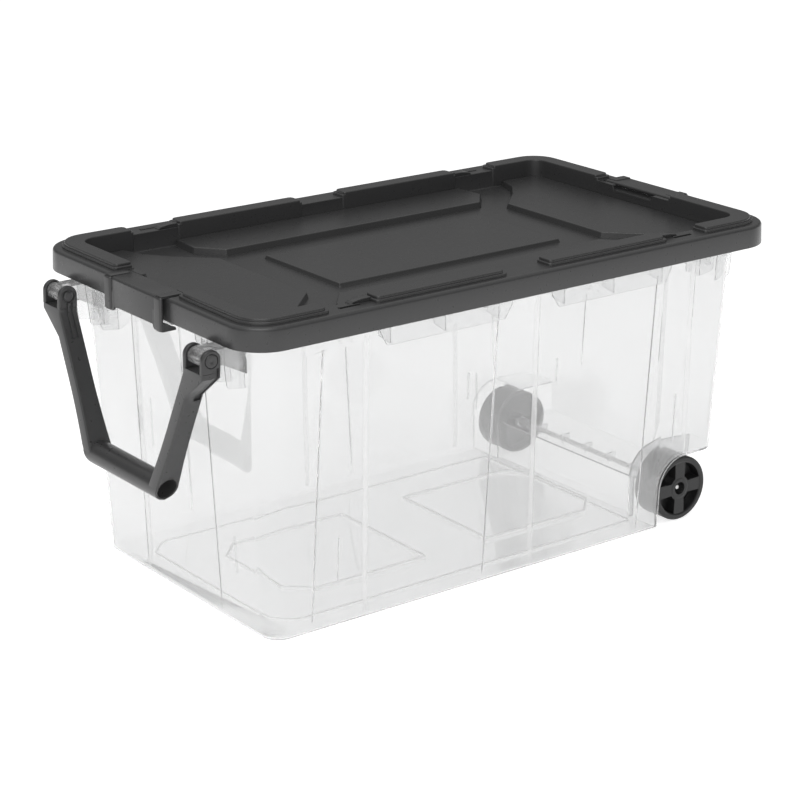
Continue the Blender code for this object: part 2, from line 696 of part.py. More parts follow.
def fork_rounder():
    """Envelope that rounds the tops of the forks about the pivot axis."""
    outline = [(PIVOT_X - 0.02, 0.15), (PIVOT_X + 0.02, 0.15), (PIVOT_X + 0.02, 0.3500)]
    outline.append((PIVOT_X + ARM_HALF_X, 0.3500))
    for i in range(17):
        angle = math.radians(180 * i / 16)
        outline.append((PIVOT_X + ARM_HALF_X * math.cos(angle), PIVOT_Z + ARM_HALF_X * math.sin(angle)))
    outline += [(PIVOT_X - ARM_HALF_X, 0.3500), (PIVOT_X - 0.02, 0.3500)]
    bm = bmesh.new()
    add_plate(bm, outline, -0.25, 0.25)
    return new_object("fork_rounder", bm)


def build_handle_pin(name, side):
    """Headed pin through a fork and its knuckle, with a swollen snap end."""
    bm = bmesh.new()
    inner = PIN_SNAP_Y[0] + 0.001
    outer = PIN_HEAD_Y[1] - 0.001
    add_rod(bm, PIN_R, (PIVOT_X, side * inner, PIVOT_Z), (PIVOT_X, side * outer, PIVOT_Z), 24)
    pin = new_object(name, bm)
    bm = bmesh.new()
    for radius, ends in ((PIN_HEAD_R, PIN_HEAD_Y), (PIN_SNAP_R, PIN_SNAP_Y)):
        add_rod(bm, radius, (PIVOT_X, side * ends[0], PIVOT_Z), (PIVOT_X, side * ends[1], PIVOT_Z), 24)
    boolean(pin, new_object(name + "_heads", bm), "UNION")
    finish(pin, grey_plastic)
    set_origin(pin, (PIVOT_X, 0.0, PIVOT_Z))
    return pin


# ---- wheels ----
def build_wheel(name, side):
    """Moulded wheel: tread ring, dished face with four pockets, hub with a recessed bore."""
    bm = bmesh.new()
    back = side * WHEEL_BACK_Y
    rows = []
    profile = [(0.0475, WHEEL_FACE_Y), (WHEEL_R, WHEEL_FACE_Y - 0.0025), (WHEEL_R, WHEEL_BACK_Y + 0.0015),
               (0.0485, WHEEL_BACK_Y)]
    for radius, y in profile:
        rows.append([(AXLE_X + radius * math.cos(math.radians(7.5 * i)), side * y,
                      WHEEL_R + radius * math.sin(math.radians(7.5 * i))) for i in range(48)])
    add_loft(bm, rows)
    wheel = new_object(name, bm)
    bm = bmesh.new()
    add_ring_cut(bm, 0.0120, 0.0445, back, back + side * 0.0200)
    boolean(wheel, new_object(name + "_back", bm), "DIFFERENCE")
    bm = bmesh.new()
    for quarter in range(4):
        add_pocket(bm, math.radians(45 + 90 * quarter), side)
    boolean(wheel, new_object(name + "_pockets", bm), "DIFFERENCE")
    bm = bmesh.new()
    add_rod(bm, BORE_R, (AXLE_X, side * 0.15, WHEEL_R), (AXLE_X, side * 0.22, WHEEL_R), 48)
    boolean(wheel, new_object(name + "_bore", bm), "DIFFERENCE")
    bm = bmesh.new()
    add_rod(bm, HUB_RECESS_R, (AXLE_X, side * HUB_FLOOR_Y, WHEEL_R), (AXLE_X, side * 0.22, WHEEL_R), 32)
    boolean(wheel, new_object(name + "_recess", bm), "DIFFERENCE")
    finish(wheel, black_plastic)
    set_origin(wheel, (AXLE_X, 0.0, WHEEL_R))
    return wheel


def add_ring_cut(bm, inner, outer, start, end):
    """Annular cutter about the axle."""
    rings = []
    for radius, y in ((inner, start), (outer, start), (outer, end), (inner, end)):
        rings.append([bm.verts.new((AXLE_X + radius * math.cos(math.radians(7.5 * i)), y,
                                    WHEEL_R + radius * math.sin(math.radians(7.5 * i)))) for i in range(48)])
    for row in range(4):
        here = rings[row]
        after = rings[(row + 1) % 4]
        for i in range(48):
            j = (i + 1) % 48
            bm.faces.new((here[i], here[j], after[j], after[i]))


def add_pocket(bm, middle, side):
    """Trapezoid pocket between two spokes."""
    outline = []
    for radius, spread in ((0.0195, 0.22), (0.0400, 0.50)):
        angles = (-spread, 0.0, spread) if radius < 0.03 else (spread, 0.0, -spread)
        for angle in angles:
            outline.append((AXLE_X + radius * math.cos(middle + angle), WHEEL_R + radius * math.sin(middle + angle)))
    low = side * POCKET_FLOOR_Y
    high = side * 0.2200
    add_plate(bm, outline, min(low, high), max(low, high))


def build_axle():
    """Steel rod that runs the full width."""
    bm = bmesh.new()
    add_rod(bm, AXLE_R, (AXLE_X, -AXLE_HALF_Y, WHEEL_R), (AXLE_X, AXLE_HALF_Y, WHEEL_R), 48)
    axle = new_object("axle", bm)
    return finish(axle, steel)


def build_push_nut(name, side):
    """Thin dished cap pressed on the rod's end; it keeps the wheel on."""
    start = HUB_FLOOR_Y + 0.0010
    bm = bmesh.new()
    add_rod(bm, NUT_R, (AXLE_X, side * start, WHEEL_R), (AXLE_X, side * (start + NUT_THICK), WHEEL_R), 32)
    nut = new_object(name, bm)
    bm = bmesh.new()
    add_rod(bm, NUT_COLLAR_R, (AXLE_X, side * (start + 0.0005), WHEEL_R),
            (AXLE_X, side * (start + 0.0040), WHEEL_R), 32)
    boolean(nut, new_object(name + "_collar", bm), "UNION")
    bm = bmesh.new()
    add_rod(bm, AXLE_R + 0.00002, (AXLE_X, side * 0.18, WHEEL_R), (AXLE_X, side * 0.22, WHEEL_R), 48)
    boolean(nut, new_object(name + "_hole", bm), "DIFFERENCE")
    return finish(nut, steel)


build_tub()
build_lid()
build_latch("latch_handle_end", -1)
build_latch("latch_wheel_end", 1)
build_handle()
build_handle_pin("handle_pin_left", 1)
build_handle_pin("handle_pin_right", -1)
build_axle()
build_wheel("wheel_left", 1)
build_wheel("wheel_right", -1)
build_push_nut("axle_cap_left", 1)
build_push_nut("axle_cap_right", -1)
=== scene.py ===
import json

import bmesh
import bpy
import numpy as np
from math import pi, radians
from mathutils import Matrix, Vector


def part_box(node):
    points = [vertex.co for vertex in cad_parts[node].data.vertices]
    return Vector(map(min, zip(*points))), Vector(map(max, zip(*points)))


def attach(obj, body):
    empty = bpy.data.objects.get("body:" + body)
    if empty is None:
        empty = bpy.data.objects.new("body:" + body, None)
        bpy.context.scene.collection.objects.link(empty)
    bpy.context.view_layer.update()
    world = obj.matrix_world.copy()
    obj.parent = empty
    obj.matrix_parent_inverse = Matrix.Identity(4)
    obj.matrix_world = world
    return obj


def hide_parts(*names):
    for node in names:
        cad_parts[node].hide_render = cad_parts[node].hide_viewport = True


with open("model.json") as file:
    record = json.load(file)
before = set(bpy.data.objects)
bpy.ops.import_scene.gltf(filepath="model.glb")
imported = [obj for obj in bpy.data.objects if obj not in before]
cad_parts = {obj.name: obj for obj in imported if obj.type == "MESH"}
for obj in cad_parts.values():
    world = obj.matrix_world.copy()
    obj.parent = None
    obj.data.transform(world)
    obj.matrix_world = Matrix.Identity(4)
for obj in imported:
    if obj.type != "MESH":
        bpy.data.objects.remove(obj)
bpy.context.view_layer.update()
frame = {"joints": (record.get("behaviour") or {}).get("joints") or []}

jointPlaces = {joint["name"]: joint["pos_m"] for joint in frame["joints"] if "pos_m" in joint}

# Metres, with +X towards the wheels, +Z up and the origin at the bottom centre.
cameraSettings = {
    "azimuth": -37.05, "elevation": 18.90, "roll": 0.076, "place": (-1.998, -2.613, 1.3295),
    "lens": 106.4, "sensor": 36.0, "reach": 60.0,
}


def makeCamera(settings):
    # Turn about Z by the azimuth, then tip up from straight down, then roll about the view line.
    data = bpy.data.cameras.new("storeCamera")
    data.lens = settings["lens"]
    data.sensor_width = settings["sensor"]
    data.clip_end = settings["reach"]
    made = bpy.data.objects.new("storeCamera", data)
    bpy.context.scene.collection.objects.link(made)
    turn = Matrix.Rotation(radians(settings["azimuth"]), 4, "Z")
    tip = Matrix.Rotation(radians(90 - settings["elevation"]), 4, "X")
    roll = Matrix.Rotation(radians(settings["roll"]), 4, "Z")
    made.matrix_world = Matrix.Translation(settings["place"]) @ turn @ tip @ roll
    bpy.context.scene.camera = made


makeCamera(cameraSettings)
print("camera in place")


# Shapes are pairs: an array of points and a list of faces that number them.
def roundedLoop(corners, radius, inset=0.0, steps=6):
    # A closed outline: each corner moves in along its bisector by the inset and gives way to an arc
    # whose radius is the corner's less the inset (more the inset where the outline turns inwards).
    corners = np.asarray(corners, float)
    radius = np.broadcast_to(np.asarray(radius, float), len(corners)).copy()
    following = np.roll(corners, -1, 0)
    if np.sum(corners[:, 0] * following[:, 1] - corners[:, 1] * following[:, 0]) < 0:
        corners, radius = corners[::-1], radius[::-1]
    after = np.roll(corners, -1, 0) - corners
    after /= np.linalg.norm(after, axis=1)[:, None]
    before = np.roll(after, 1, 0)
    normalIn = np.stack((-before[:, 1], before[:, 0]), 1)
    normalOut = np.stack((-after[:, 1], after[:, 0]), 1)
    turn = np.arctan2(before[:, 0] * after[:, 1] - before[:, 1] * after[:, 0], (before * after).sum(1))
    way = np.where(turn < 0, -1.0, 1.0)
    bisector = (normalIn + normalOut) / (1 + (normalIn * normalOut).sum(1))[:, None]
    leastArc = 0.00015
    arc = np.maximum(radius - way * inset, leastArc)
    centre = corners + bisector * (inset + way * arc)[:, None]
    angle = turn[:, None] * np.linspace(0, 1, steps + 1)
    startX, startY = normalIn[:, :1], normalIn[:, 1:]
    reach = (way * arc)[:, None]
    x = centre[:, :1] - reach * (startX * np.cos(angle) - startY * np.sin(angle))
    y = centre[:, 1:] - reach * (startX * np.sin(angle) + startY * np.cos(angle))
    return np.stack((x, y), -1).reshape(-1, 2)


def placed(loop, height, axis="z"):
    # The outline lies in the plane across the axis, at that height along it.
    order = {"z": (0, 1, 2), "y": (0, 2, 1), "x": (2, 0, 1)}[axis]
    columns = (loop[:, 0], loop[:, 1], np.full(len(loop), height))
    return np.stack([columns[i] for i in order], -1)


def skin(rows, wrap=True, caps=(True, True)):
    # One four-sided face between each pair of neighbouring points on neighbouring rows, and flat ends.
    rows = np.asarray(rows, float)
    rowCount, count = rows.shape[:2]
    start = np.arange(rowCount - 1)[:, None] * count
    here = np.arange(count if wrap else count - 1)[None, :]
    beside = (here + 1) % count
    faces = np.stack((start + here, start + beside, start + count + beside, start + count + here), -1)
    faces = faces.reshape(-1, 4).tolist()
    if caps[0]:
        faces.append(list(range(count))[::-1])
    if caps[1]:
        faces.append(list(range((rowCount - 1) * count, rowCount * count)))
    return rows.reshape(-1, 3), faces


def tube(rows, wrap=True):
    # A skin with no ends.
    return skin(rows, wrap, (False, False))


def patch(points):
    # One flat face through all the points.
    return np.asarray(points, float), [list(range(len(points)))]


def softRows(low, high, edge, steps=4):
    # Pairs of inset and height: a quarter circle in at the low end, straight, and one out at the high end.
    angle = np.linspace(0, pi / 2, steps)
    inset = edge * (1 - np.sin(angle))
    rise = edge * (1 - np.cos(angle))
    flat = edge + 0.0004
    return ([(flat, low)] + list(zip(inset, low + rise))
            + list(zip(inset[::-1], high - rise[::-1])) + [(flat, high)])


def topRows(low, high, edge, lean=0.0, steps=4):
    # Straight up from the low end with a lean, then a quarter circle over the top edge.
    angle = np.linspace(0, pi / 2, steps)
    inset = lean + edge * (1 - np.cos(angle))
    rows = [(0.0, low)] + list(zip(inset, high - edge + edge * np.sin(angle)))
    return rows + [(lean + edge + 0.0005, high)]


def slab(corners, radius, rows, axis="z", steps=6):
    # The rounded outline carried through the rows of inset and height.
    return skin([placed(roundedLoop(corners, radius, inset, steps), height, axis) for inset, height in rows])


def block(low, high, edge=0.0004):
    # A slab over a rectangle, with its upright edges and its ends softened.
    corners = [(low[0], low[1]), (high[0], low[1]), (high[0], high[1]), (low[0], high[1])]
    return slab(corners, edge, softRows(low[2], high[2], edge, 3), "z", 3)


def turned(profile, place, sides=64):
    # Each radius and distance along Y of the profile becomes a ring about the line through the place.
    radius, along = np.asarray(profile, float).T
    angle = np.linspace(0, 2 * pi, sides, endpoint=False)
    x = place[0] + radius[:, None] * np.cos(angle)
    z = place[1] + radius[:, None] * np.sin(angle)
    return skin(np.stack((x, np.broadcast_to(along[:, None], x.shape), z), -1))


def mirrored(part, x=1, y=1):
    # The same points on the other side of the middle plane.
    points, faces = part
    return points * np.array((x, y, 1.0)), faces


def fourWays(parts):
    # Each part in all four quarters.
    return [mirrored(part, x, y) for part in parts for x in (-1, 1) for y in (-1, 1)]


def meshOf(name, parts, weld=0.0):
    # All parts' points one after another, each part's face numbers moved up past the points before it.
    points = np.concatenate([part[0] for part in parts])
    starts = np.cumsum([0] + [len(part[0]) for part in parts[:-1]])
    faces = [[index + int(start) for index in face] for start, part in zip(starts, parts) for face in part[1]]
    mesh = bpy.data.meshes.new(name)
    mesh.from_pydata(points.tolist(), [], faces)
    work = bmesh.new()
    work.from_mesh(mesh)
    if weld:
        bmesh.ops.remove_doubles(work, verts=work.verts, dist=weld)
        bmesh.ops.dissolve_degenerate(work, edges=work.edges, dist=weld / 2)
    bmesh.ops.recalc_face_normals(work, faces=work.faces)
    work.to_mesh(mesh)
    work.free()
    return mesh


def objectOf(name, parts, weld=0.0):
    made = bpy.data.objects.new(name, meshOf(name, parts, weld))
    bpy.context.scene.collection.objects.link(made)
    return made


def settled(piece):
    # The piece's mesh as its modifiers leave it.
    shaped = piece.evaluated_get(bpy.context.evaluated_depsgraph_get())
    mesh = bpy.data.meshes.new_from_object(shaped)
    piece.modifiers.clear()
    piece.data = mesh


def cutAway(part, cutters):
    # One closed part less each closed cutter in turn.
    weld = 0.000002
    piece = objectOf("work", [part], weld)
    for cutter in cutters:
        tool = objectOf("tool", [cutter], weld)
        modifier = piece.modifiers.new("cut", "BOOLEAN")
        modifier.object = tool
        modifier.operation = "DIFFERENCE"
        modifier.solver = "EXACT"
        settled(piece)
        bpy.data.objects.remove(tool, do_unlink=True)
    points = np.empty(len(piece.data.vertices) * 3)
    piece.data.vertices.foreach_get("co", points)
    faces = [list(face.vertices) for face in piece.data.polygons]
    bpy.data.objects.remove(piece, do_unlink=True)
    return points.reshape(-1, 3), faces


def finishPiece(piece, finish, body, standsFor=(), crease=32):
    # Smooth shading with creases kept, one finish, and the body that the piece rides on.
    mesh = piece.data
    mesh.materials.clear()
    mesh.materials.append(finish)
    mesh.shade_smooth()
    mesh.set_sharp_from_angle(angle=radians(crease))
    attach(piece, body)
    if standsFor:
        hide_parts(*standsFor)


# Finishes
def addNode(tree, kind, values=(), operation=None):
    # A node with its operation and the values of its unlinked sockets.
    node = tree.nodes.new(kind)
    if operation:
        node.operation = operation
    for socket, value in dict(values).items():
        node.inputs[socket].default_value = value
    return node


def linkNodes(tree, pairs):
    for source, target in pairs:
        tree.links.new(source, target)


def mouldedSkinGroup():
    # Fine moulded grain gives the height, a slow noise drifts the colour and a middling one the roughness.
    group = bpy.data.node_groups.new("mouldedSkin", "ShaderNodeTree")
    for name, kind in (("Place", "NodeSocketVector"), ("Colour", "NodeSocketColor"),
                       ("Drift", "NodeSocketFloat"), ("Grain Size", "NodeSocketFloat"),
                       ("Roughness", "NodeSocketFloat"), ("Spread", "NodeSocketFloat")):
        group.interface.new_socket(name=name, in_out="INPUT", socket_type=kind)
    for name, kind in (("Colour", "NodeSocketColor"), ("Roughness", "NodeSocketFloat"),
                       ("Height", "NodeSocketFloat")):
        group.interface.new_socket(name=name, in_out="OUTPUT", socket_type=kind)
    given = group.nodes.new("NodeGroupInput")
    result = group.nodes.new("NodeGroupOutput")
    grain = addNode(group, "ShaderNodeTexNoise", {"Detail": 3.0})
    flow = addNode(group, "ShaderNodeTexNoise", {"Scale": 9.0, "Detail": 2.0})
    scuff = addNode(group, "ShaderNodeTexNoise", {"Scale": 130.0, "Detail": 4.0})
    flowMiddle = addNode(group, "ShaderNodeMath", {1: 0.5}, "SUBTRACT")
    drift = addNode(group, "ShaderNodeMath", operation="MULTIPLY")
    lift = addNode(group, "ShaderNodeMath", {1: 1.0}, "ADD")
    shade = addNode(group, "ShaderNodeVectorMath", operation="SCALE")
    scuffMiddle = addNode(group, "ShaderNodeMath", {1: 0.5}, "SUBTRACT")
    rough = addNode(group, "ShaderNodeMath", operation="MULTIPLY_ADD")
    linkNodes(group, (
        (given.outputs["Place"], grain.inputs["Vector"]),
        (given.outputs["Place"], flow.inputs["Vector"]),
        (given.outputs["Place"], scuff.inputs["Vector"]),
        (given.outputs["Grain Size"], grain.inputs["Scale"]),
        (flow.outputs["Fac"], flowMiddle.inputs[0]),
        (flowMiddle.outputs[0], drift.inputs[0]),
        (given.outputs["Drift"], drift.inputs[1]),
        (drift.outputs[0], lift.inputs[0]),
        (given.outputs["Colour"], shade.inputs[0]),
        (lift.outputs[0], shade.inputs["Scale"]),
        (shade.outputs[0], result.inputs["Colour"]),
        (scuff.outputs["Fac"], scuffMiddle.inputs[0]),
        (scuffMiddle.outputs[0], rough.inputs[0]),
        (given.outputs["Spread"], rough.inputs[1]),
        (given.outputs["Roughness"], rough.inputs[2]),
        (rough.outputs[0], result.inputs["Roughness"]),
        (grain.outputs["Fac"], result.inputs["Height"]),
    ))
    return group


mouldedSkin = mouldedSkinGroup()
finishSettings = {
    "greyPolypropylene": {
        "colour": (0.036, 0.036, 0.0365), "drift": 0.16, "grain": 1400.0, "rough": 0.30, "spread": 0.16,
        "bump": (0.12, 0.0004)},
    "blackWheelPlastic": {
        "colour": (0.007, 0.007, 0.0072), "drift": 0.25, "grain": 1100.0, "rough": 0.38, "spread": 0.22,
        "bump": (0.15, 0.0004)},
    "clearPolypropylene": {
        "colour": (0.880, 0.882, 0.883), "drift": 0.03, "grain": 30.0, "rough": 0.025, "spread": 0.02,
        "bump": (0.010, 0.002), "passes": 0.97,
        "sockets": {"Transmission Weight": 0.90, "IOR": 1.49, "Specular IOR Level": 0.25}},
    # painted highlight: a whiter, less clear plastic for strips that stand in for bright edge lines
    "frostedEdges": {
        "colour": (0.95, 0.95, 0.95), "drift": 0.03, "grain": 200.0, "rough": 0.16, "spread": 0.05,
        "bump": (0.02, 0.001), "sockets": {"Transmission Weight": 0.86, "IOR": 1.49}, "passes": 0.97},
    # painted highlight: a half-clear white plastic for the floor beads, so that they show as bright lines
    "whitenedBeads": {
        "colour": (0.97, 0.97, 0.97), "drift": 0.03, "grain": 200.0, "rough": 0.30, "spread": 0.05,
        "bump": (0.02, 0.001), "sockets": {"Transmission Weight": 0.45, "IOR": 1.49}, "passes": 0.97},
    "thickSleevePlastic": {
        "colour": (0.66, 0.66, 0.66), "drift": 0.03, "grain": 200.0, "rough": 0.24, "spread": 0.05,
        "bump": (0.02, 0.001), "sockets": {"Transmission Weight": 0.95, "IOR": 1.49}},
    "drawnSteel": {
        "colour": (0.62, 0.62, 0.61), "drift": 0.12, "grain": 500.0, "rough": 0.28, "spread": 0.18,
        "bump": (0.08, 0.0003), "sockets": {"Metallic": 1.0}},
}


def letLightThrough(tree, tint):
    # Rays that only carry light to another surface pass with a slight loss; all others meet the plastic.
    path = addNode(tree, "ShaderNodeLightPath")
    either = addNode(tree, "ShaderNodeMath", operation="MAXIMUM")
    clear = addNode(tree, "ShaderNodeBsdfTransparent", {"Color": (tint, tint, tint, 1.0)})
    blend = addNode(tree, "ShaderNodeMixShader")
    linkNodes(tree, (
        (path.outputs["Is Shadow Ray"], either.inputs[0]),
        (path.outputs["Is Diffuse Ray"], either.inputs[1]),
        (either.outputs[0], blend.inputs["Fac"]),
        (tree.nodes["Principled BSDF"].outputs["BSDF"], blend.inputs[1]),
        (clear.outputs["BSDF"], blend.inputs[2]),
        (blend.outputs["Shader"], tree.nodes["Material Output"].inputs["Surface"]),
    ))


def mouldedFinish(name, s):
    # A Principled surface that takes colour, roughness and grain from the shared group.
    made = bpy.data.materials.new(name)
    made.use_nodes = True
    tree = made.node_tree
    shader = tree.nodes["Principled BSDF"]
    place = addNode(tree, "ShaderNodeTexCoord")
    group = tree.nodes.new("ShaderNodeGroup")
    group.node_tree = mouldedSkin
    for socket, value in (("Colour", (*s["colour"], 1.0)), ("Drift", s["drift"]), ("Grain Size", s["grain"]),
                          ("Roughness", s["rough"]), ("Spread", s["spread"])):
        group.inputs[socket].default_value = value
    dent = addNode(tree, "ShaderNodeBump", {"Strength": s["bump"][0], "Distance": s["bump"][1]})
    linkNodes(tree, (
        (place.outputs["Object"], group.inputs["Place"]),
        (group.outputs["Colour"], shader.inputs["Base Color"]),
        (group.outputs["Roughness"], shader.inputs["Roughness"]),
        (group.outputs["Height"], dent.inputs["Height"]),
        (dent.outputs["Normal"], shader.inputs["Normal"]),
    ))
    for socket, value in s.get("sockets", {}).items():
        shader.inputs[socket].default_value = value
    if "passes" in s:
        letLightThrough(tree, s["passes"])
    return made


finishes = {name: mouldedFinish(name, settings) for name, settings in finishSettings.items()}
greyPlastic = finishes["greyPolypropylene"]
clearPlastic = finishes["clearPolypropylene"]
print("finishes ready")


# Lid
lidLow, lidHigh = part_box("lid")
lidSizes = {
    "half": (lidHigh[0], lidHigh[1]), "corner": 0.055, "skirtBottom": lidLow[2], "shoulder": 0.4585,
    "edge": 0.0052, "recess": (0.4205, 0.2290), "recessCorner": 0.026, "floor": 0.431, "shell": 0.0028,
    "lip": 0.0018, "fillet": 0.0030, "blockTop": lidHigh[2], "tier": 0.4622, "blockOut": (0.4495, 0.257),
    "blockIn": (0.4200, 0.2270), "blockCorners": (0.004, 0.007, 0.045, 0.007, 0.004, 0.024),
    "gapHalf": 0.0365, "gapAt": 0.293, "bayHalf": 0.0795, "step": 0.0036,
}


def rectangle(halfX, halfY):
    return [(-halfX, -halfY), (halfX, -halfY), (halfX, halfY), (-halfX, halfY)]


def lidShell(s):
    # Rings from the middle of the underside out to the skirt, up over the shoulder and down into the recess.
    shell, shoulder, floor, edge, lip, fillet = (
        s[key] for key in ("shell", "shoulder", "floor", "edge", "lip", "fillet"))
    inside = (rectangle(*s["recess"]), s["recessCorner"])
    outside = (rectangle(*s["half"]), s["corner"])
    angle = np.linspace(0, pi / 2, 6)
    bend = angle[::2]
    skirt = [(shell, 0.0), (0.0012, 0.0), (0.0004, 0.0004), (0.0, 0.0014)]
    rings = [(*inside, 0.004 - shell, floor - shell), (*inside, -shell, floor - shell)]
    rings += [(*inside, -shell, shoulder - shell), (*outside, shell + 0.0012, shoulder - shell)]
    rings += [(*outside, inset, s["skirtBottom"] + rise) for inset, rise in skirt]
    rings += [(*outside, 0.0010 + edge * (1 - np.cos(a)), shoulder - edge + edge * np.sin(a)) for a in angle]
    rings += [(*outside, edge + 0.0016, shoulder), (*inside, -lip - 0.0006, shoulder)]
    rings += [(*inside, -lip * (1 - np.sin(a)), shoulder - lip * (1 - np.cos(a))) for a in bend]
    rings += [(*inside, 0.0010 + fillet * (1 - np.cos(a)), floor + fillet * (1 - np.sin(a))) for a in bend]
    rings.append((*inside, 0.0046, floor))
    return skin([placed(roundedLoop(corners, radius, inset, 12), height)
                 for corners, radius, inset, height in rings])


def cornerBand(s, pull, lift):
    # The L-shaped outline of one corner block; pull draws the outer edge and the ends in.
    left = s["gapAt"] + s["gapHalf"] + pull
    right, top = s["blockOut"][0] - pull, s["blockOut"][1] - pull
    innerX, innerY = s["blockIn"][0] + lift, s["blockIn"][1] + lift
    corners = [(left, innerY), (left, top), (right, top), (right, s["bayHalf"] + pull),
               (innerX, s["bayHalf"] + pull), (innerX, innerY)]
    return corners, np.array(s["blockCorners"]) - np.array((0, 0, pull, 0, 0, 0))


def lidBlocks(s):
    # Each block is a low tier under a slightly smaller tall one, which leaves the stepped bead.
    parts = []
    for pull, lift, top, edge in ((0.0, 0.0002, s["tier"], 0.0013), (s["step"], 0.0, s["blockTop"], 0.0019)):
        rows = topRows(s["floor"] - 0.001, top, edge)
        corners, radius = cornerBand(s, pull, lift)
        low, high = s["gapHalf"] + pull, s["gapAt"] - s["gapHalf"] - pull
        inner, outer = s["blockIn"][1] + lift, s["blockOut"][1] - pull
        bar = [(low, inner), (high, inner), (high, outer), (low, outer)]
        parts += fourWays([slab(corners, radius, rows, "z", 8), slab(bar, [0.004, 0.004, 0.007, 0.007], rows)])
    return parts


# Half of each field's outline, from its far edge; the other half is the same across the middle.
fieldSizes = {
    "end": {"top": 0.4395, "line": [(0.4195, 0.2280), (0.3480, 0.2280), (0.3350, 0.1900), (0.3080, 0.1550),
                                    (0.2600, 0.1080)], "radius": [0.004, 0.004, 0.02, 0.02, 0.008]},
    "ledge": {"top": 0.4405, "line": [(0.2620, 0.2285), (0.2660, 0.1750), (0.2330, 0.1350)],
              "radius": [0.004, 0.006, 0.006]},
    "panel": {"top": 0.4365, "half": (0.1990, 0.0925), "radius": 0.004},
    "lean": 0.0022, "edge": 0.0016,
}


def lidFields(s, f):
    # Raised fields on the recess floor: one at each end, a ledge along each side and the middle panel.
    def field(outline, radius, top):
        return slab(outline, radius, topRows(s["floor"] - 0.0006, top, f["edge"], f["lean"]))

    line, radius = f["end"]["line"], f["end"]["radius"]
    end = field([(x, -y) for x, y in line] + line[::-1], radius + radius[::-1], f["end"]["top"])
    line, radius = f["ledge"]["line"], f["ledge"]["radius"]
    ledge = field([(-x, y) for x, y in line] + line[::-1], radius + radius[::-1], f["ledge"]["top"])
    panel = field(rectangle(*f["panel"]["half"]), f["panel"]["radius"], f["panel"]["top"])
    return [end, mirrored(end, -1), ledge, mirrored(ledge, 1, -1), panel]


pocketSizes = {
    "half": 0.0165, "slot": (0.2462, 0.2498), "bottom": 0.4520, "top": 0.4640, "liner": 0.001,
    "linerHeights": (0.4485, 0.4570), "rest": 0.4575, "ridgeTop": 0.4596,
    "ramp": [(0.2880, 0.4575), (0.2880, 0.4590), (0.2840, 0.4618), (0.2700, 0.4638), (0.2560, 0.4640),
             (0.2560, 0.4575)],
}


def lidPockets(s, p):
    # In four of the gaps: a narrow slot with a liner, and a low ramp against the neighbouring block.
    low, high = s["gapAt"] - p["half"], s["gapAt"] + p["half"]
    (near, far), wall, rest = p["slot"], p["liner"], p["rest"]
    outline = [(low, near), (high, near), (high, far), (low, far)]
    slot = slab(outline, 0.0008, [(0, p["bottom"]), (0, p["top"])], "z", 3)
    wider = [(low - wall, near - wall), (high + wall, near - wall), (high + wall, far + wall),
             (low - wall, far + wall)]
    foot, brim = p["linerHeights"]
    cupRows = [(0, foot), (0, brim), (wall, brim), (wall, foot + wall)]
    ridge = [(low, rest), (low, p["ridgeTop"]), (high, p["ridgeTop"]), (high, rest)]
    return fourWays([slot]), fourWays([
        slab(wider, wall, cupRows, "z", 3),
        slab(p["ramp"], 0.0006, softRows(0.2292, 0.2425, 0.0008, 3), "y", 3),
        slab(ridge, 0.0004, softRows(0.2430, 0.2460, 0.0005, 3), "y", 3)])


def latchBays():
    # At each end: a notch through the recess wall and a trough for the barrel, with a liner under them.
    notch = slab([(-0.0400, 0.4452), (0.0400, 0.4452), (0.0490, 0.4640), (-0.0490, 0.4640)], 0.0008,
                 [(0, 0.4150), (0, 0.4300)], "x", 3)
    trough = block((0.4286, -0.0757, 0.4500), (0.4480, 0.0757, 0.4640), 0.0005)
    rest = block((0.4170, -0.0757, 0.4574), (0.4760, 0.0757, 0.4640), 0.0005)
    liner = [block(*ends) for ends in (
        ((0.4215, -0.0790, 0.4430), (0.4272, 0.0790, 0.4500)),
        ((0.4262, -0.0790, 0.4480), (0.4420, 0.0790, 0.4503)),
        ((0.4475, -0.0785, 0.4480), (0.4495, 0.0785, 0.4568)),
        ((0.4262, 0.0762, 0.4480), (0.4495, 0.0792, 0.4572)),
        ((0.4262, -0.0792, 0.4480), (0.4495, -0.0762, 0.4572)))]
    return ([mirrored(part, x) for x in (-1, 1) for part in (notch, trough, rest)],
            [mirrored(part, x) for x in (-1, 1) for part in liner])


slots, slotParts = lidPockets(lidSizes, pocketSizes)
bayCuts, bayParts = latchBays()
lidParts = [cutAway(lidShell(lidSizes), slots + bayCuts)] + lidBlocks(lidSizes)
lidParts += lidFields(lidSizes, fieldSizes) + slotParts + bayParts
lid = objectOf("lid_moulding", lidParts)
finishPiece(lid, greyPlastic, "lid_body", ["lid"])
print("lid done", len(lid.data.polygons), "faces")


# Latches
latchHinge = jointPlaces["latch_wheel_end_hinge"]
latchSizes = {
    "hinge": (latchHinge[0], latchHinge[2]), "barrel": 0.0030, "front": 0.4695, "plate": 0.0027,
    "top": 0.4595, "half": 0.0725, "middleBottom": 0.4184, "earBottom": 0.4120, "earTop": 0.4400, "ear": 0.0230,
    "hook": (0.4470, 0.0118, 0.4152), "bead": 0.0022, "beadWidth": 0.0170,
    "web": [(0.4480, 0.4130), (0.4685, 0.4130), (0.4685, 0.4251), (0.4655, 0.4251), (0.4600, 0.4226),
            (0.4550, 0.4193), (0.4480, 0.4162)],
}


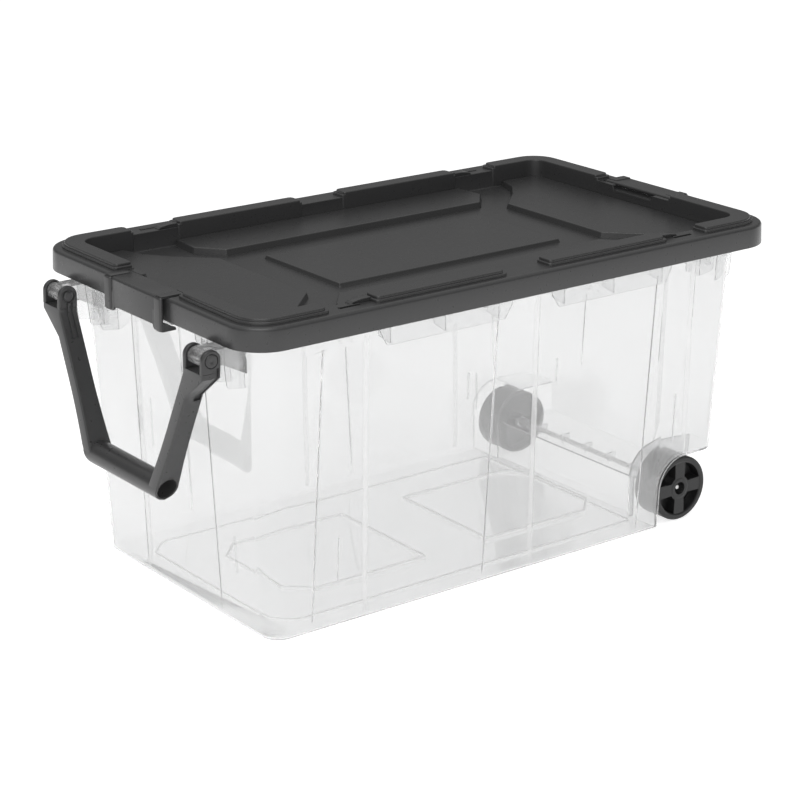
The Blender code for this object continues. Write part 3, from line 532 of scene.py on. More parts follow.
def latchParts(s):
    # A folded plate along Y with its barrel, and at each end a lower ear with a hook and an upright bead.
    x, front, top, half = s["hinge"][0], s["front"], s["top"], s["half"]
    inner = front - s["plate"]
    fold = [(x - 0.0008, top), (front, top), (front, s["middleBottom"]), (inner, s["middleBottom"]),
            (inner, top - s["plate"]), (x - 0.0008, top - s["plate"])]
    barrel = [(0.0020, -half + 0.0002), (s["barrel"], -half + 0.0012), (s["barrel"], half - 0.0012),
              (0.0020, half - 0.0002)]
    pin = [(0.0012, -0.0762), (0.0016, -0.0757), (0.0016, 0.0757), (0.0012, 0.0762)]
    foldRadius = [0.001, 0.0045, 0.0010, 0.0010, 0.0022, 0.001]
    parts = [slab(fold, foldRadius, softRows(-half, half, 0.0010, 3), "y", 8),
             turned(barrel, s["hinge"], 28), turned(pin, s["hinge"], 20)]
    hookFrom, hookWidth, hookTop = s["hook"]
    for side in (-1, 1):
        earIn, earOut = side * (half - s["ear"]), side * half
        ear = [(earIn, s["earTop"]), (earOut, s["earTop"]), (earOut, s["earBottom"]), (earIn, s["earBottom"])]
        rows = softRows(inner - 0.0001, front + 0.0001, 0.0007, 3)
        parts.append(slab(ear, [0.002, 0.002, 0.0016, 0.0055], rows, "x"))
        hookIn, hookOut, hookTip = side * (half - hookWidth), side * (half - 0.0002), front - 0.001
        hook = [(hookFrom, hookIn), (hookFrom, hookOut), (hookTip, hookOut), (hookTip, hookIn)]
        parts.append(slab(hook, 0.0012, softRows(s["earBottom"], hookTop, 0.0008, 3)))
        ends = sorted((side * (half - 0.0028), side * (half - 0.0003)))
        parts.append(slab(s["web"], 0.0004, softRows(*ends, 0.0004, 3), "y", 3))
        low, high = sorted((side * (half - s["beadWidth"]), side * (half + 0.0001)))
        bead = [(inner, low), (front + s["bead"], low), (front + s["bead"], high), (inner, high)]
        rows = softRows(s["earBottom"] + 0.0004, top - 0.0004, 0.0032, 6)
        parts.append(slab(bead, [0.0008, 0.0034, 0.0034, 0.0008], rows))
        ridge = [(x + 0.004, top - 0.001), (front - 0.001, top - 0.001), (front - 0.001, top + 0.0008),
                 (x + 0.004, top + 0.0008)]
        parts.append(slab(ridge, 0.0008, softRows(low + 0.0006, high - 0.0006, 0.0008, 3), "y", 4))
    return parts


for name, way in (("latch_handle_end", -1), ("latch_wheel_end", 1)):
    latch = objectOf(name + "_plate", [mirrored(part, way) for part in latchParts(latchSizes)])
    finishPiece(latch, greyPlastic, name, [name])
print("latches done")


# Pull handle
handlePivot = jointPlaces["handle_swing"]
handleSizes = {
    "pivot": (handlePivot[0], handlePivot[2]), "depth": 0.0142, "gripZ": 0.204, "gripR": 0.0178,
    "bore": 0.0145, "fork": 0.182, "forkHalf": 0.0235, "slotHalf": 0.0165, "slotBottom": 0.3920,
    "edge": 0.0026, "pin": 0.0045, "lean": 1.25,
    "outer": ((0.1800, 0.3524, 0.3850, 0.4300), (0.0843, 0.1650, 0.2055, 0.2055)),
    "inner": ((0.1800, 0.3524, 0.3850, 0.4300), (0.0626, 0.1433, 0.1585, 0.1585)),
}


def armPart(s):
    # Rounded rectangles up the arm: the depth follows a half circle at the grip, and the width runs between
    # the inner and outer faces.
    gripZ, gripR, edge = s["gripZ"], s["gripR"], s["edge"]
    low = gripZ - gripR + 0.00005
    swell = gripZ - (gripZ - low) * np.cos(np.linspace(0, pi / 2, 9))
    stops = [0.3524, 0.365, 0.385, 0.3885, s["slotBottom"]]
    levels = np.unique(np.concatenate((swell, np.linspace(0.215, 0.345, 9), stops)))
    swollen = s["depth"] + (gripR - 0.0002 - s["depth"]) * np.clip((0.300 - levels) / 0.085, 0, 1) ** 2
    belly = np.sqrt(np.maximum(gripR ** 2 - (levels - gripZ) ** 2, 1e-8))
    depth = np.minimum(np.where(levels < gripZ, belly, swollen), swollen)
    outer, inner = np.interp(levels, *s["outer"]), np.interp(levels, *s["inner"])
    middle, half = (outer + inner) / 2, (outer - inner) / 2
    edge = np.minimum(edge, depth * 0.9)
    corner = np.repeat(np.array([(1, 1), (-1, 1), (-1, -1), (1, -1)]), 6, axis=0)
    angle = np.concatenate([np.linspace(q * pi / 2, (q + 1) * pi / 2, 6) for q in range(4)])
    x = s["pivot"][0] + corner[:, 0] * (depth - edge)[:, None] + edge[:, None] * np.cos(angle)
    y = middle[:, None] + corner[:, 1] * (half - edge)[:, None] + edge[:, None] * np.sin(angle)
    return skin(np.stack((x, y, np.broadcast_to(levels[:, None], x.shape)), -1))


def cheekPart(s, low, high):
    # A plate with a round top about the pivot.
    (x, z), d = s["pivot"], s["depth"]
    bottom = s["slotBottom"] - 0.0003
    outline = [(x - d, bottom), (x + d, bottom), (x + d, z + d), (x - d, z + d)]
    return slab(outline, [0.001, 0.001, d - 0.0001, d - 0.0001], softRows(low, high, 0.0016, 4), "y", 12)


def gripPart(s):
    # A tube along Y, out at one radius and back at a smaller one; its ends follow the arms' slanted faces.
    angle = np.linspace(0, 2 * pi, 56, endpoint=False)
    bore, outside, soft, rim = s["bore"], s["gripR"], 0.0010, 0.0006
    end = [(bore, rim), (bore + rim, 0.0), (outside - soft, 0.0), (outside, soft)]
    rows = []
    for side, (radius, short) in [(-1, pair) for pair in end] + [(1, pair) for pair in end[::-1]]:
        z = s["gripZ"] + radius * np.sin(angle)
        y = side * (np.interp(z, *s["outer"]) - short)
        rows.append(np.stack((s["pivot"][0] + radius * np.cos(angle), y, z), -1))
    return tube(rows + [rows[0]])


def leaned(part, s):
    # The handle hangs a little off the upright: a small turn about the pivot.
    points, faces = part
    turn = radians(s["lean"])
    x, z = points[:, 0] - s["pivot"][0], points[:, 2] - s["pivot"][1]
    return np.stack((s["pivot"][0] + x * np.cos(turn) + z * np.sin(turn), points[:, 1],
                     s["pivot"][1] - x * np.sin(turn) + z * np.cos(turn)), -1), faces


def armStrip(s, face, heights, left, right, near, far):
    # A bar that follows one face of the arm: its four sides stand at fixed distances from that face.
    rows = []
    for height in heights:
        at = np.interp(height, *s[face])
        rows.append([(s["pivot"][0] + x, at + y, height)
                     for x, y in ((left, near), (right, near), (right, far), (left, far))])
    return skin(rows)


def handleParts(s):
    x, z = s["pivot"]
    inner, outer = s["fork"] - s["forkHalf"], s["fork"] + s["forkHalf"]
    bore = turned([(s["bore"] + 0.0005, 0.0400), (s["bore"] + 0.0005, 0.1400)], (x, s["gripZ"]), 56)
    # a shallow pocket runs down the outer face and over the shoulder
    pocket = armStrip(s, "outer", (0.3440, 0.3524, 0.3850, 0.3985), 0.0004, 0.0108, -0.0026, 0.02)
    # the inner face has a long pocket with a rib along its middle
    innerLevels = (0.3520, 0.3850, 0.3990)
    innerPocket = armStrip(s, "inner", innerLevels, -0.0062, 0.0062, -0.02, 0.0022)
    rib = armStrip(s, "inner", innerLevels, -0.0014, 0.0014, 0.0003, 0.0040)
    arm = cutAway(armPart(s), [bore, pocket, innerPocket])
    seat = turned([(0.0101, outer - 0.0026), (0.0101, outer + 0.01)], (x, z), 40)
    outerCheek = cutAway(cheekPart(s, s["fork"] + s["slotHalf"], outer), [seat, pocket])
    innerSeat = turned([(0.0100, inner + 0.0024), (0.0100, inner - 0.01)], (x, z), 40)
    innerCheek = cutAway(cheekPart(s, inner, s["fork"] - s["slotHalf"]), [innerSeat, innerPocket])
    armParts = (rib, arm, outerCheek, innerCheek)
    parts = [gripPart(s)] + [mirrored(part, 1, side) for side in (-1, 1) for part in armParts]
    return [leaned(part, s) for part in parts]


# Radius and distance along Y, from the snapped end to the head.
pinProfile = [(0.0010, 0.1566), (0.0040, 0.1569), (0.0056, 0.1574), (0.0066, 0.1583), (0.0068, 0.1596),
              (0.0064, 0.1609), (0.0045, 0.1611), (0.0045, 0.2031), (0.0088, 0.2031), (0.0090, 0.2035),
              (0.0090, 0.2052), (0.0084, 0.2061), (0.0070, 0.2064), (0.0024, 0.2064), (0.0018, 0.2061),
              (0.0008, 0.2060)]
handle = objectOf("handle_bail", handleParts(handleSizes))
finishPiece(handle, greyPlastic, "handle", ["pull_handle"])
for name, side in (("handle_pin_left", 1), ("handle_pin_right", -1)):
    pin = objectOf(name + "_turned", [mirrored(turned(pinProfile, handleSizes["pivot"], 40), 1, side)])
    finishPiece(pin, greyPlastic, "tub_body", [name])
print("handle done")


# Wheels and axle
wheelLow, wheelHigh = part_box("wheel_left")
wheelPlace = jointPlaces["wheel_left_spin"]
wheelSizes = {
    "at": (wheelPlace[0], wheelPlace[2]), "face": wheelHigh[1], "back": wheelLow[1], "pocket": 0.0150,
    "spokeHalf": 0.0098, "bore": 0.00415, "hubFloor": 0.1965,
    "radii": ((0.0098, 0.0180, 10), (0.0182, 0.0412, 50), (0.0414, 0.0470, 10)),
}


def wheelPart(s):
    # Rings about the axle; on the face, a depth set by how far a point is inside one of the four pockets.
    angle = np.linspace(0, 2 * pi, 320, endpoint=False)
    radius = np.concatenate([np.linspace(*span) for span in s["radii"]])
    r, a = np.meshgrid(radius, angle, indexing="ij")
    quarter = (a + pi / 4) % (pi / 2) - pi / 4  # measured from the middle of each spoke
    across = r * np.abs(np.sin(quarter)) - s["spokeHalf"] - 0.05 * (r - 0.018)

    def ramp(distance, width=0.0011, middle=0.5):
        return np.clip(distance / width + middle, 0, 1)

    inPocket = ramp(across) * ramp(r - 0.0192) * ramp(0.0402 - r)
    inPocket = inPocket * inPocket * (3 - 2 * inPocket)
    dish = 0.0012 * ramp(0.0425 - r, 0.0020, 0)  # the rim ring stands a little proud
    hub = 0.0006 * ramp(0.0165 - r, 0.0020, 0)
    y = s["face"] - dish + hub - s["pocket"] * inPocket
    face = np.stack((s["at"][0] + r * np.cos(a), y, s["at"][1] + r * np.sin(a)), -1)

    def rings(profile):
        return [np.stack((s["at"][0] + distance * np.cos(angle), np.full(len(angle), along),
                          s["at"][1] + distance * np.sin(angle)), -1) for distance, along in profile]

    front, back, bore, floor = s["face"], s["back"], s["bore"], s["hubFloor"]
    inside = rings([(bore, back + 0.002), (bore, floor), (0.0090, floor), (0.0095, floor + 0.0005),
                    (0.0096, front - 0.0010)])
    tread = rings([(0.0478, front - 0.0001), (0.0489, front - 0.0005), (0.0497, front - 0.0014),
                   (0.0500, front - 0.0026), (0.0500, back + 0.0022), (0.0496, back + 0.0008), (0.0486, back),
                   (0.0450, back), (0.0445, back + 0.001), (0.0440, back + 0.0180), (0.0125, back + 0.0180),
                   (0.0118, back + 0.001), (0.0112, back + 0.0004), (0.0060, back + 0.0004)])
    return tube(inside + list(face) + tread + [inside[0]])


rodProfile = [(0.0030, -0.2050), (0.0040, -0.2040), (0.0040, 0.2040), (0.0030, 0.2050)]
nutProfile = [(0.00405, 0.1975), (0.0068, 0.1975), (0.0074, 0.1979), (0.0074, 0.1985), (0.0060, 0.1990),
              (0.0054, 0.1998), (0.0052, 0.2012), (0.0047, 0.2015), (0.00405, 0.2015), (0.00405, 0.1975)]
wheelBody = wheelPart(wheelSizes)
for name, side in (("wheel_left", 1), ("wheel_right", -1)):
    wheel = objectOf(name + "_moulding", [mirrored(wheelBody, 1, side)], 0.000005)
    finishPiece(wheel, finishes["blackWheelPlastic"], name, [name], 40)
rod = objectOf("axle_rod", [turned(rodProfile, wheelSizes["at"], 48)])
finishPiece(rod, finishes["drawnSteel"], "tub_body", ["axle"])
points, faces = turned(nutProfile, wheelSizes["at"], 40)
for name, side in (("axle_cap_left", 1), ("axle_cap_right", -1)):
    # a closed ring, so its end faces are left off
    nut = objectOf(name + "_pressed", [mirrored((points, faces[:-2]), 1, side)], 0.000005)
    finishPiece(nut, finishes["drawnSteel"], "tub_body", [name])
print("wheels and axle done")


# Tub
tubSizes = {
    "base": (0.402, 0.219), "rim": (0.4305, 0.2403), "jog": (0.400, 0.416), "jogHalf": 0.4212,
    "top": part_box("tub")[1][2], "baseCorner": 0.030, "rimCorner": 0.045, "wall": 0.0026,
    "channelDepth": 0.0040, "channelSlope": 0.0050, "channelHalf": (0.0455, 0.022),
    "endChannelHalf": (0.096, 0.017), "channelAt": (-0.293, 0.0, 0.293),
    "well": (0.2915, 0.158, 0.1085, 0.046), "step": (0.300, 0.060),
    "cornerStart": -0.3560, "endStart": 0.180, "spring": 0.0347,
    "foot": ((0.0, 0.006), (0.0008, 0.0036), (0.002, 0.0020), (0.0042, 0.0006), (0.007, 0.0)),
    "climb": (0.0, 0.12, 0.3, 0.5, 0.7, 0.86), "upper": (0.404, 0.408, 0.412),
}


def tubHalf(s, z):
    # Half length and half width at each height: a straight taper, with the ends stepping out near the top.
    jog = np.clip((z - s["jog"][0]) / (s["jog"][1] - s["jog"][0]), 0, 1)
    halfX = s["base"][0] + (s["jogHalf"] - s["base"][0]) * np.minimum(z, s["jog"][0]) / s["jog"][0]
    halfX = halfX + (s["rim"][0] - s["jogHalf"]) * jog
    return halfX, s["base"][1] + (s["rim"][1] - s["base"][1]) * z / s["top"]


def channelWidth(half, z):
    # Half the width of a channel, which narrows with height.
    return half[0] - half[1] * z


def channelDepth(s, along, z, centres, half):
    # Zero outside a channel, full inside it, sloping at each edge; it fades out at the top and bottom.
    nearest = np.min(np.abs(along[..., None] - np.array(centres)), axis=-1)
    inside = np.clip((channelWidth(half, z) - nearest) / s["channelSlope"], 0, 1)
    fadeTop = np.clip((s["jog"][1] - z) / (s["jog"][1] - s["jog"][0]), 0, 1)
    return s["channelDepth"] * inside * np.minimum(np.minimum(1.0, z / 0.02), fadeTop)


def sideWall(s, x, z, side, inset=0.0):
    # A long wall's point at each length and height.
    y = tubHalf(s, z)[1] - channelDepth(s, x, z, s["channelAt"], s["channelHalf"]) - inset
    return np.stack((x + 0 * z, side * y, z + 0 * x), -1)


def endWall(s, y, z, end, inset=0.0):
    # An end wall's point at each width and height.
    x = tubHalf(s, z)[0] - channelDepth(s, y, z, (0.0,), s["endChannelHalf"]) - inset
    return np.stack((end * x, y + 0 * z, z + 0 * y), -1)


def cornerWall(s, angle, z, end, side, inset=0.0):
    # A quarter circle whose radius grows with height.
    halfX, halfY = tubHalf(s, z)
    radius = s["baseCorner"] + (s["rimCorner"] - s["baseCorner"]) * z / s["top"]
    x = halfX - radius + (radius - inset) * np.cos(angle)
    y = halfY - radius + (radius - inset) * np.sin(angle)
    return np.stack((end * x, side * y, z + 0 * x), -1)


def archHeight(s, x):
    # The wheel arch over x: a quarter circle from the upright front to the flat roof.
    left, _, top, radius = s["well"]
    across = np.clip(left + radius - x, 0, radius)
    return top - radius + np.sqrt(np.maximum(radius ** 2 - across ** 2, 0))


def climb(s, start):
    # Heights from each start to just under the jog, then the same ones for every station.
    start = np.atleast_1d(np.asarray(start, float))
    share = np.array(s["climb"]) / s["climb"][-1]
    lower = start[None, :] + (s["jog"][0] - start[None, :]) * share[:, None]
    upper = np.array([*s["upper"], s["jog"][1], 0.430, s["top"]])[:, None] + 0 * start[None, :]
    return np.concatenate((lower, upper))


def creaseLines(s, z, low, high):
    # Stations along a long wall at every height: its two ends and the creases that lean with the height.
    width = channelWidth(s["channelHalf"], z)
    lines = [centre + sign * (width - trim)
             for centre in s["channelAt"] for sign in (-1, 1) for trim in (0.0, s["channelSlope"])]
    lines = [line for line in lines if low + 0.003 < line.mean() < high - 0.003]
    lines += [np.full_like(z, low), np.full_like(z, high)]
    return np.stack(sorted(lines, key=lambda line: line.mean()), -1)


def wheelEndSide(s, side, footZ, footInset):
    # One side of the wheel end: the wall over the arch and round the corner, then the wheel well under it.
    wellX, wellY, roof, archR = s["well"]
    stepX, stepZ = s["step"]
    archX = wellX + archR - archR * np.cos(np.linspace(0, pi / 2, 15))
    crease = s["channelAt"][2] + channelWidth(s["channelHalf"], 0.09)
    stops = [crease, crease - s["channelSlope"], 0.3480, -s["cornerStart"] + 0.004]
    alongX = np.unique(np.round(np.concatenate((archX, stops)), 6))
    heights = climb(s, archHeight(s, alongX))
    wall = sideWall(s, np.broadcast_to(alongX, heights.shape), heights, side)
    angle = np.linspace(pi / 2, 0, 13)
    heights = climb(s, np.full(len(angle), roof))
    corner = cornerWall(s, np.broadcast_to(angle, heights.shape), heights, 1, side)
    endY = np.linspace(s["endStart"], wellY, 3)
    heights = climb(s, np.full(len(endY), roof))
    end = endWall(s, np.broadcast_to(side * endY, heights.shape), heights, 1)
    band = np.concatenate((wall, corner, end), 1)
    # the arch's edge is wall points below the spring line, then the arch; it is repeated at the well's side
    front = sideWall(s, np.full(len(footZ), wellX), footZ, side, footInset)
    rim = np.concatenate((front, wall[0][alongX <= wellX + archR + 1e-6]))
    inner = rim.copy()
    inner[:, 1] = side * wellY
    edge = band[0][len(rim) - len(front) - 1:]
    endLow = endWall(s, np.array([side * wellY]), np.array([stepZ]), 1)[0]
    stepEdge = [(stepX, side * wellY, stepZ), (stepX, side * wellY, 0.0)]
    roofPatch = patch(np.concatenate((edge, [inner[-1]])))
    wellPatch = patch(np.concatenate((inner, [edge[-1], endLow], stepEdge)))
    return [tube(band, False), tube(np.stack((rim, inner)), False), roofPatch, wellPatch]


def tubSkin(s):
    # The outer skin in patches that share their edge points: walls, wheel wells, the low step and the floor.
    wellX, wellY, roof, archR = s["well"]
    stepX, stepZ = s["step"]
    foot = np.array(s["foot"])
    footZ = np.concatenate((foot[:, 0], [s["spring"]]))
    footInset = np.concatenate((foot[:, 1], [0.0]))
    patches = wheelEndSide(s, -1, footZ, footInset) + wheelEndSide(s, 1, footZ, footInset)
    # middle of the wheel-end wall, and the low step over the axle
    width = channelWidth(s["endChannelHalf"], 0.25)
    slope = s["channelSlope"]
    middleY = np.array([-wellY, -width, -width + slope, width - slope, width, wellY])
    heights = np.concatenate(([[stepZ] * 6], [[0.085] * 6], climb(s, np.full(6, roof))))
    middle = endWall(s, np.broadcast_to(middleY, heights.shape), heights, 1)
    patches.append(tube(middle, False))
    patches.append(patch(np.concatenate((middle[0], [(stepX, wellY, stepZ), (stepX, -wellY, stepZ)]))))
    riser = [(stepX, -wellY, 0.0), (stepX, wellY, 0.0), (stepX, wellY, stepZ), (stepX, -wellY, stepZ)]
    patches.append(patch(riser))
    # the long walls up to the arch, the handle-end corners and the handle-end wall
    columnZ = np.concatenate((footZ, climb(s, roof - archR)[:, 0]))
    inset = np.concatenate((footInset, np.zeros(len(columnZ) - len(footZ))))[:, None]
    grid = creaseLines(s, columnZ, s["cornerStart"], wellX)[:, ::-1]
    angle = np.linspace(pi / 2, 0, 13)
    width = channelWidth(s["endChannelHalf"], columnZ)
    endLines = np.stack((0 * columnZ + 0.150, width, width - slope), -1)
    endLines = np.concatenate((endLines, -endLines[:, ::-1]), 1)

    def spread(count):
        return np.broadcast_to(columnZ[:, None], (len(columnZ), count))

    ring = np.concatenate((
        sideWall(s, grid, spread(grid.shape[1]), 1, inset),
        cornerWall(s, angle, spread(len(angle)), -1, 1, inset),
        endWall(s, endLines, spread(endLines.shape[1]), -1, inset),
        cornerWall(s, angle[::-1], spread(len(angle)), -1, -1, inset),
        sideWall(s, grid[:, ::-1], spread(grid.shape[1]), -1, inset)), 1)
    patches.append(tube(ring, False))
    notch = [(wellX, -wellY, 0), (stepX, -wellY, 0), (stepX, wellY, 0), (wellX, wellY, 0)]
    return patches + [patch(np.concatenate((ring[0], notch)))]


def makeTubShell(s):
    # The outer skin with its floor turned down, given the wall's thickness inwards.
    piece = objectOf("tub_shell", tubSkin(s), 0.00002)
    work = bmesh.new()
    work.from_mesh(piece.data)
    floorFace = min(work.faces, key=lambda face: face.calc_center_median().z)
    if floorFace.normal.z > 0:
        bmesh.ops.reverse_faces(work, faces=work.faces)
    openEdges = [edge for edge in work.edges if len(edge.link_faces) == 1]
    onTop = all(abs(edge.verts[0].co.z - s["top"]) < 1e-4 for edge in openEdges)
    print("tub skin:", len(openEdges), "open edges, top ring only:", onTop)
    work.to_mesh(piece.data)
    work.free()
    wall = piece.modifiers.new("wall", "SOLIDIFY")
    wall.thickness = s["wall"]
    wall.offset = -1.0
    wall.use_even_offset = True
    settled(piece)
    return piece


finishPiece(makeTubShell(tubSizes), clearPlastic, "tub_body", ["tub"], 28)

tubTrim = {
    "lip": (0.4577, 0.2652), "lipBottom": 0.4285, "lipThick": 0.0022, "lipCorner": 0.052, "flange": 0.0024,
    "flap": [(0.0350, 0.4292), (0.2570, 0.4292), (0.2570, 0.4210), (0.2460, 0.4010), (0.0480, 0.4010),
             (0.0350, 0.4210)], "flapBottom": 0.4010, "rib": 0.0011, "under": 0.0030,
    "flapRibs": (0.0580, 0.1490, 0.2400), "shortRibs": (0.0740, 0.1610, 0.2500),
    "endRibs": (0.127, 0.156, 0.190), "gusset": (0.0006, 0.003, 0.003, 0.001, 0.001, 0.002, 0.002),
    "saddles": (-0.108, -0.054, 0.0, 0.054, 0.108), "knuckle": 0.0112,
}


def tubRim(s, t):
    # From the wall's top edge out along the flange, down the lip and back up inside it.
    outside = (rectangle(*t["lip"]), t["lipCorner"])
    mouth = (rectangle(s["rim"][0] + 0.0002, s["rim"][1] + 0.0002), s["rimCorner"])
    top, thick, bottom = s["top"], t["lipThick"], t["lipBottom"]
    under = top - t["flange"]
    rings = [(*mouth, -0.0001, under), (*outside, thick, under), (*outside, thick, bottom),
             (*outside, 0.0004, bottom), (*outside, 0.0, bottom + 0.0006), (*outside, 0.0, top - 0.0012),
             (*outside, 0.0012, top), (*mouth, -0.0001, top), (*mouth, -0.0001, under)]
    return tube([placed(roundedLoop(corners, radius, inset, 10), height)
                 for corners, radius, inset, height in rings])


def tubFlaps(s, t):
    # On each long side, two flaps hang from the lip; three ribs tie each one back to the wall.
    top = s["top"] - t["under"]
    parts = [slab(t["flap"], [0.0005, 0.0005, 0.004, 0.005, 0.005, 0.004],
                  softRows(t["lip"][1] - t["lipThick"], t["lip"][1], 0.0005, 3), "y")]
    rib = [(0.2375, 0.4075), (0.2628, t["flapBottom"] + 0.0020), (0.2628, top), (0.2400, top)]
    for x in t["flapRibs"]:
        parts.append(slab(rib, 0.0006, softRows(x - t["rib"], x + t["rib"], 0.0004, 3), "x", 3))
    parts += [block((x - 0.002, 0.2375, 0.4180), (x - 0.0006, 0.2500, top), 0.0003) for x in t["shortRibs"]]
    return fourWays(parts)


def endRibs(s, t):
    # Upright gussets under the rim at both ends, and the ledge that each latch hooks under.
    top = s["top"] - t["under"]
    gusset = [(0.4180, 0.3580), (0.4440, 0.3615), (0.4470, 0.3660), (0.4560, top), (0.4290, top),
              (0.4290, 0.4180), (0.4195, 0.4000)]
    parts = [slab(gusset, t["gusset"], softRows(y - t["rib"], y + t["rib"], 0.0004, 3), "y", 4)
             for y in t["endRibs"]]
    near, far = t["endRibs"][:2]
    web = [(near, 0.3700), (far, 0.3700), (far, 0.4100), (near, 0.4100)]
    parts.append(slab(web, 0.001, softRows(0.4405, 0.4425, 0.0004, 3), "x", 3))
    catch = block((0.4290, -0.0690, 0.4185), (0.4525, 0.0690, 0.4215), 0.0006)
    return fourWays(parts) + [catch, mirrored(catch, -1)]


def knuckles(t, h):
    # A round-nosed block for each fork, bored for the pin.
    (x, z), radius = h["pivot"], t["knuckle"]
    outline = [(x - radius, z - radius), (-0.4560, z - radius), (-0.4200, z - 0.0300), (-0.4205, z + radius),
               (x - radius, z + radius)]
    reach = h["slotHalf"] - 0.0005
    solid = slab(outline, [radius - 0.0001, 0.004, 0.001, 0.001, radius - 0.0001],
                 softRows(h["fork"] - reach, h["fork"] + reach, 0.0010, 3), "y", 10)
    bore = turned([(h["pin"] + 0.0003, 0.15), (h["pin"] + 0.0003, 0.21)], (x, z), 32)
    solid = cutAway(solid, [bore])
    return [solid, mirrored(solid, 1, -1)]


def axleSaddles(s, t):
    # Thin ribs under the low step that hold the rod, and a boss beside each wheel.
    (x, z), top = wheelSizes["at"], s["step"][1] + 0.0006
    half = [(0.0090, top), (0.0065, 0.0455), (0.0038, 0.0455), (0.0038, 0.0545)]
    rib = [(x - across, height) for across, height in half]
    rib += [(x + across, height) for across, height in half[::-1]]
    parts = [slab(rib, 0.0006, softRows(y - 0.0012, y + 0.0012, 0.0003, 3), "y", 3) for y in t["saddles"]]
    boss = [(0.0042, 0.1400), (0.0086, 0.1400), (0.0090, 0.1404), (0.0090, 0.1638), (0.0086, 0.1642),
            (0.0042, 0.1642), (0.0042, 0.1400)]
    points, faces = turned(boss, (x, z), 36)
    return parts + [mirrored((points, faces[:-2]), 1, side) for side in (-1, 1)]


def strip(place, corners):
    # A thin bar along a line: place gives the line moved by each corner's two distances, four corners round.
    return skin(np.stack([place(*corner) for corner in corners], 1))


def slopeBands(s):
    # Thin whitened strips on the channel slopes that face the pull handle on one side, and their opposites.
    # the strips are painted highlights for the bright lines at the rounded channel edges
    z = np.concatenate((np.linspace(0.012, s["jog"][0], 14), [s["jog"][1] - 0.004]))
    corners = [(0.0002, 0.0001), (-s["channelSlope"], 0.0001), (-s["channelSlope"], 0.0005), (0.0002, 0.0005)]
    parts = []
    for centre in s["channelAt"]:
        heights = z[z > 0.118] if centre > 0.2 else z  # the last one starts above the wheel arch
        edge = centre + channelWidth(s["channelHalf"], heights)
        parts.append(strip(lambda trim, lift: sideWall(s, edge + trim, heights, -1, -lift), corners))
    edge = channelWidth(s["endChannelHalf"], z)
    parts.append(strip(lambda trim, lift: endWall(s, edge + trim, z, -1, -lift), corners))
    # the same strips turned half round about Z, less the one that would cross the arch
    return parts + [mirrored(part, -1, -1) for part in parts[:2] + parts[3:]]


def archLines(s):
    # A whitened bead round each wheel arch on the outside of the wall: a painted highlight along the arch edge.
    left, _, top, radius = s["well"]
    angle = np.linspace(0, pi / 2, 15)
    x = np.concatenate((np.full(4, left), left + radius - radius * np.cos(angle), [0.355]))
    z = np.concatenate(([0.004, 0.02, 0.035, 0.05], top - radius + radius * np.sin(angle), [top]))
    outX = np.concatenate((np.full(4, -1.0), -np.cos(angle), [0.0])) * 0.0022
    outZ = np.concatenate((np.zeros(4), np.sin(angle), [1.0])) * 0.0022

    def place(grow, lift):
        height = z + grow * outZ
        return np.stack((x + grow * outX, tubHalf(s, height)[1] + lift, height), -1)

    bead = strip(place, ((0, 0.0001), (1, 0.0001), (1, 0.0006), (0, 0.0006)))
    return [mirrored(bead, 1, -1), bead]


markSizes = {
    "side": ((-0.295, 0.068, 0.129), (-0.083, 0.285, 0.323), (0.076, 0.278, 0.313), (0.313, 0.135, 0.210)),
    "end": (-0.137, 0.078, 0.131),
}


def wallMarks(s, m):
    # Short upright ribs moulded on the inside of the walls; each has its place along the wall and two heights.
    corners = ((-0.0005, 0.0024), (0.0005, 0.0024), (0.0005, 0.0060), (-0.0005, 0.0060))
    parts = []
    for at, low, high in m["side"]:
        z = np.linspace(low, high, 6)
        wall = -tubHalf(s, z)[1]
        part = strip(lambda shift, deep: np.stack((at + shift + 0 * z, wall + deep, z), -1), corners)
        parts += [part, mirrored(part, -1, -1)]
    at, low, high = m["end"]
    z = np.linspace(low, high, 6)
    wall = -tubHalf(s, z)[0]
    parts.append(strip(lambda shift, deep: np.stack((wall + deep, at + shift + 0 * z, z), -1), corners))
    return parts


def beadRing(corners, radius, low, width, height):
    # Four loops, two low and two high, closed on themselves: a flat bead that follows an outline.
    rows = [(0, low), (0, low + height), (width, low + height), (width, low), (0, low)]
    return tube([placed(roundedLoop(corners, radius, inset), level) for inset, level in rows])


def clippedBox(left, right, half, clipLeft, clipRight):
    # A rectangle with its corners cut off.
    return [(left + clipLeft, -half), (right - clipRight, -half), (right, -half + clipRight),
            (right, half - clipRight), (right - clipRight, half), (left + clipLeft, half),
            (left, half - clipLeft), (left, -half + clipLeft)]


def floorLines(s):
    # Beads round the floor fields and the perimeter step; their whiter finish is a painted highlight.
    low = s["wall"] + 0.0001
    outline = [(-0.3320, -0.1750), (0.2780, -0.1750), (0.2780, 0.1750), (-0.3320, 0.1750), (-0.3620, 0.1450),
               (-0.3620, -0.1450)]
    return [beadRing(outline, [0.02, 0.006, 0.006, 0.02, 0.02, 0.02], low, 0.0032, 0.0014),
            beadRing(clippedBox(-0.2880, -0.0560, 0.105, 0.035, 0.003), 0.002, low, 0.0034, 0.0030),
            beadRing(clippedBox(0.0560, 0.2830, 0.105, 0.003, 0.035), 0.002, low, 0.0034, 0.0030)]
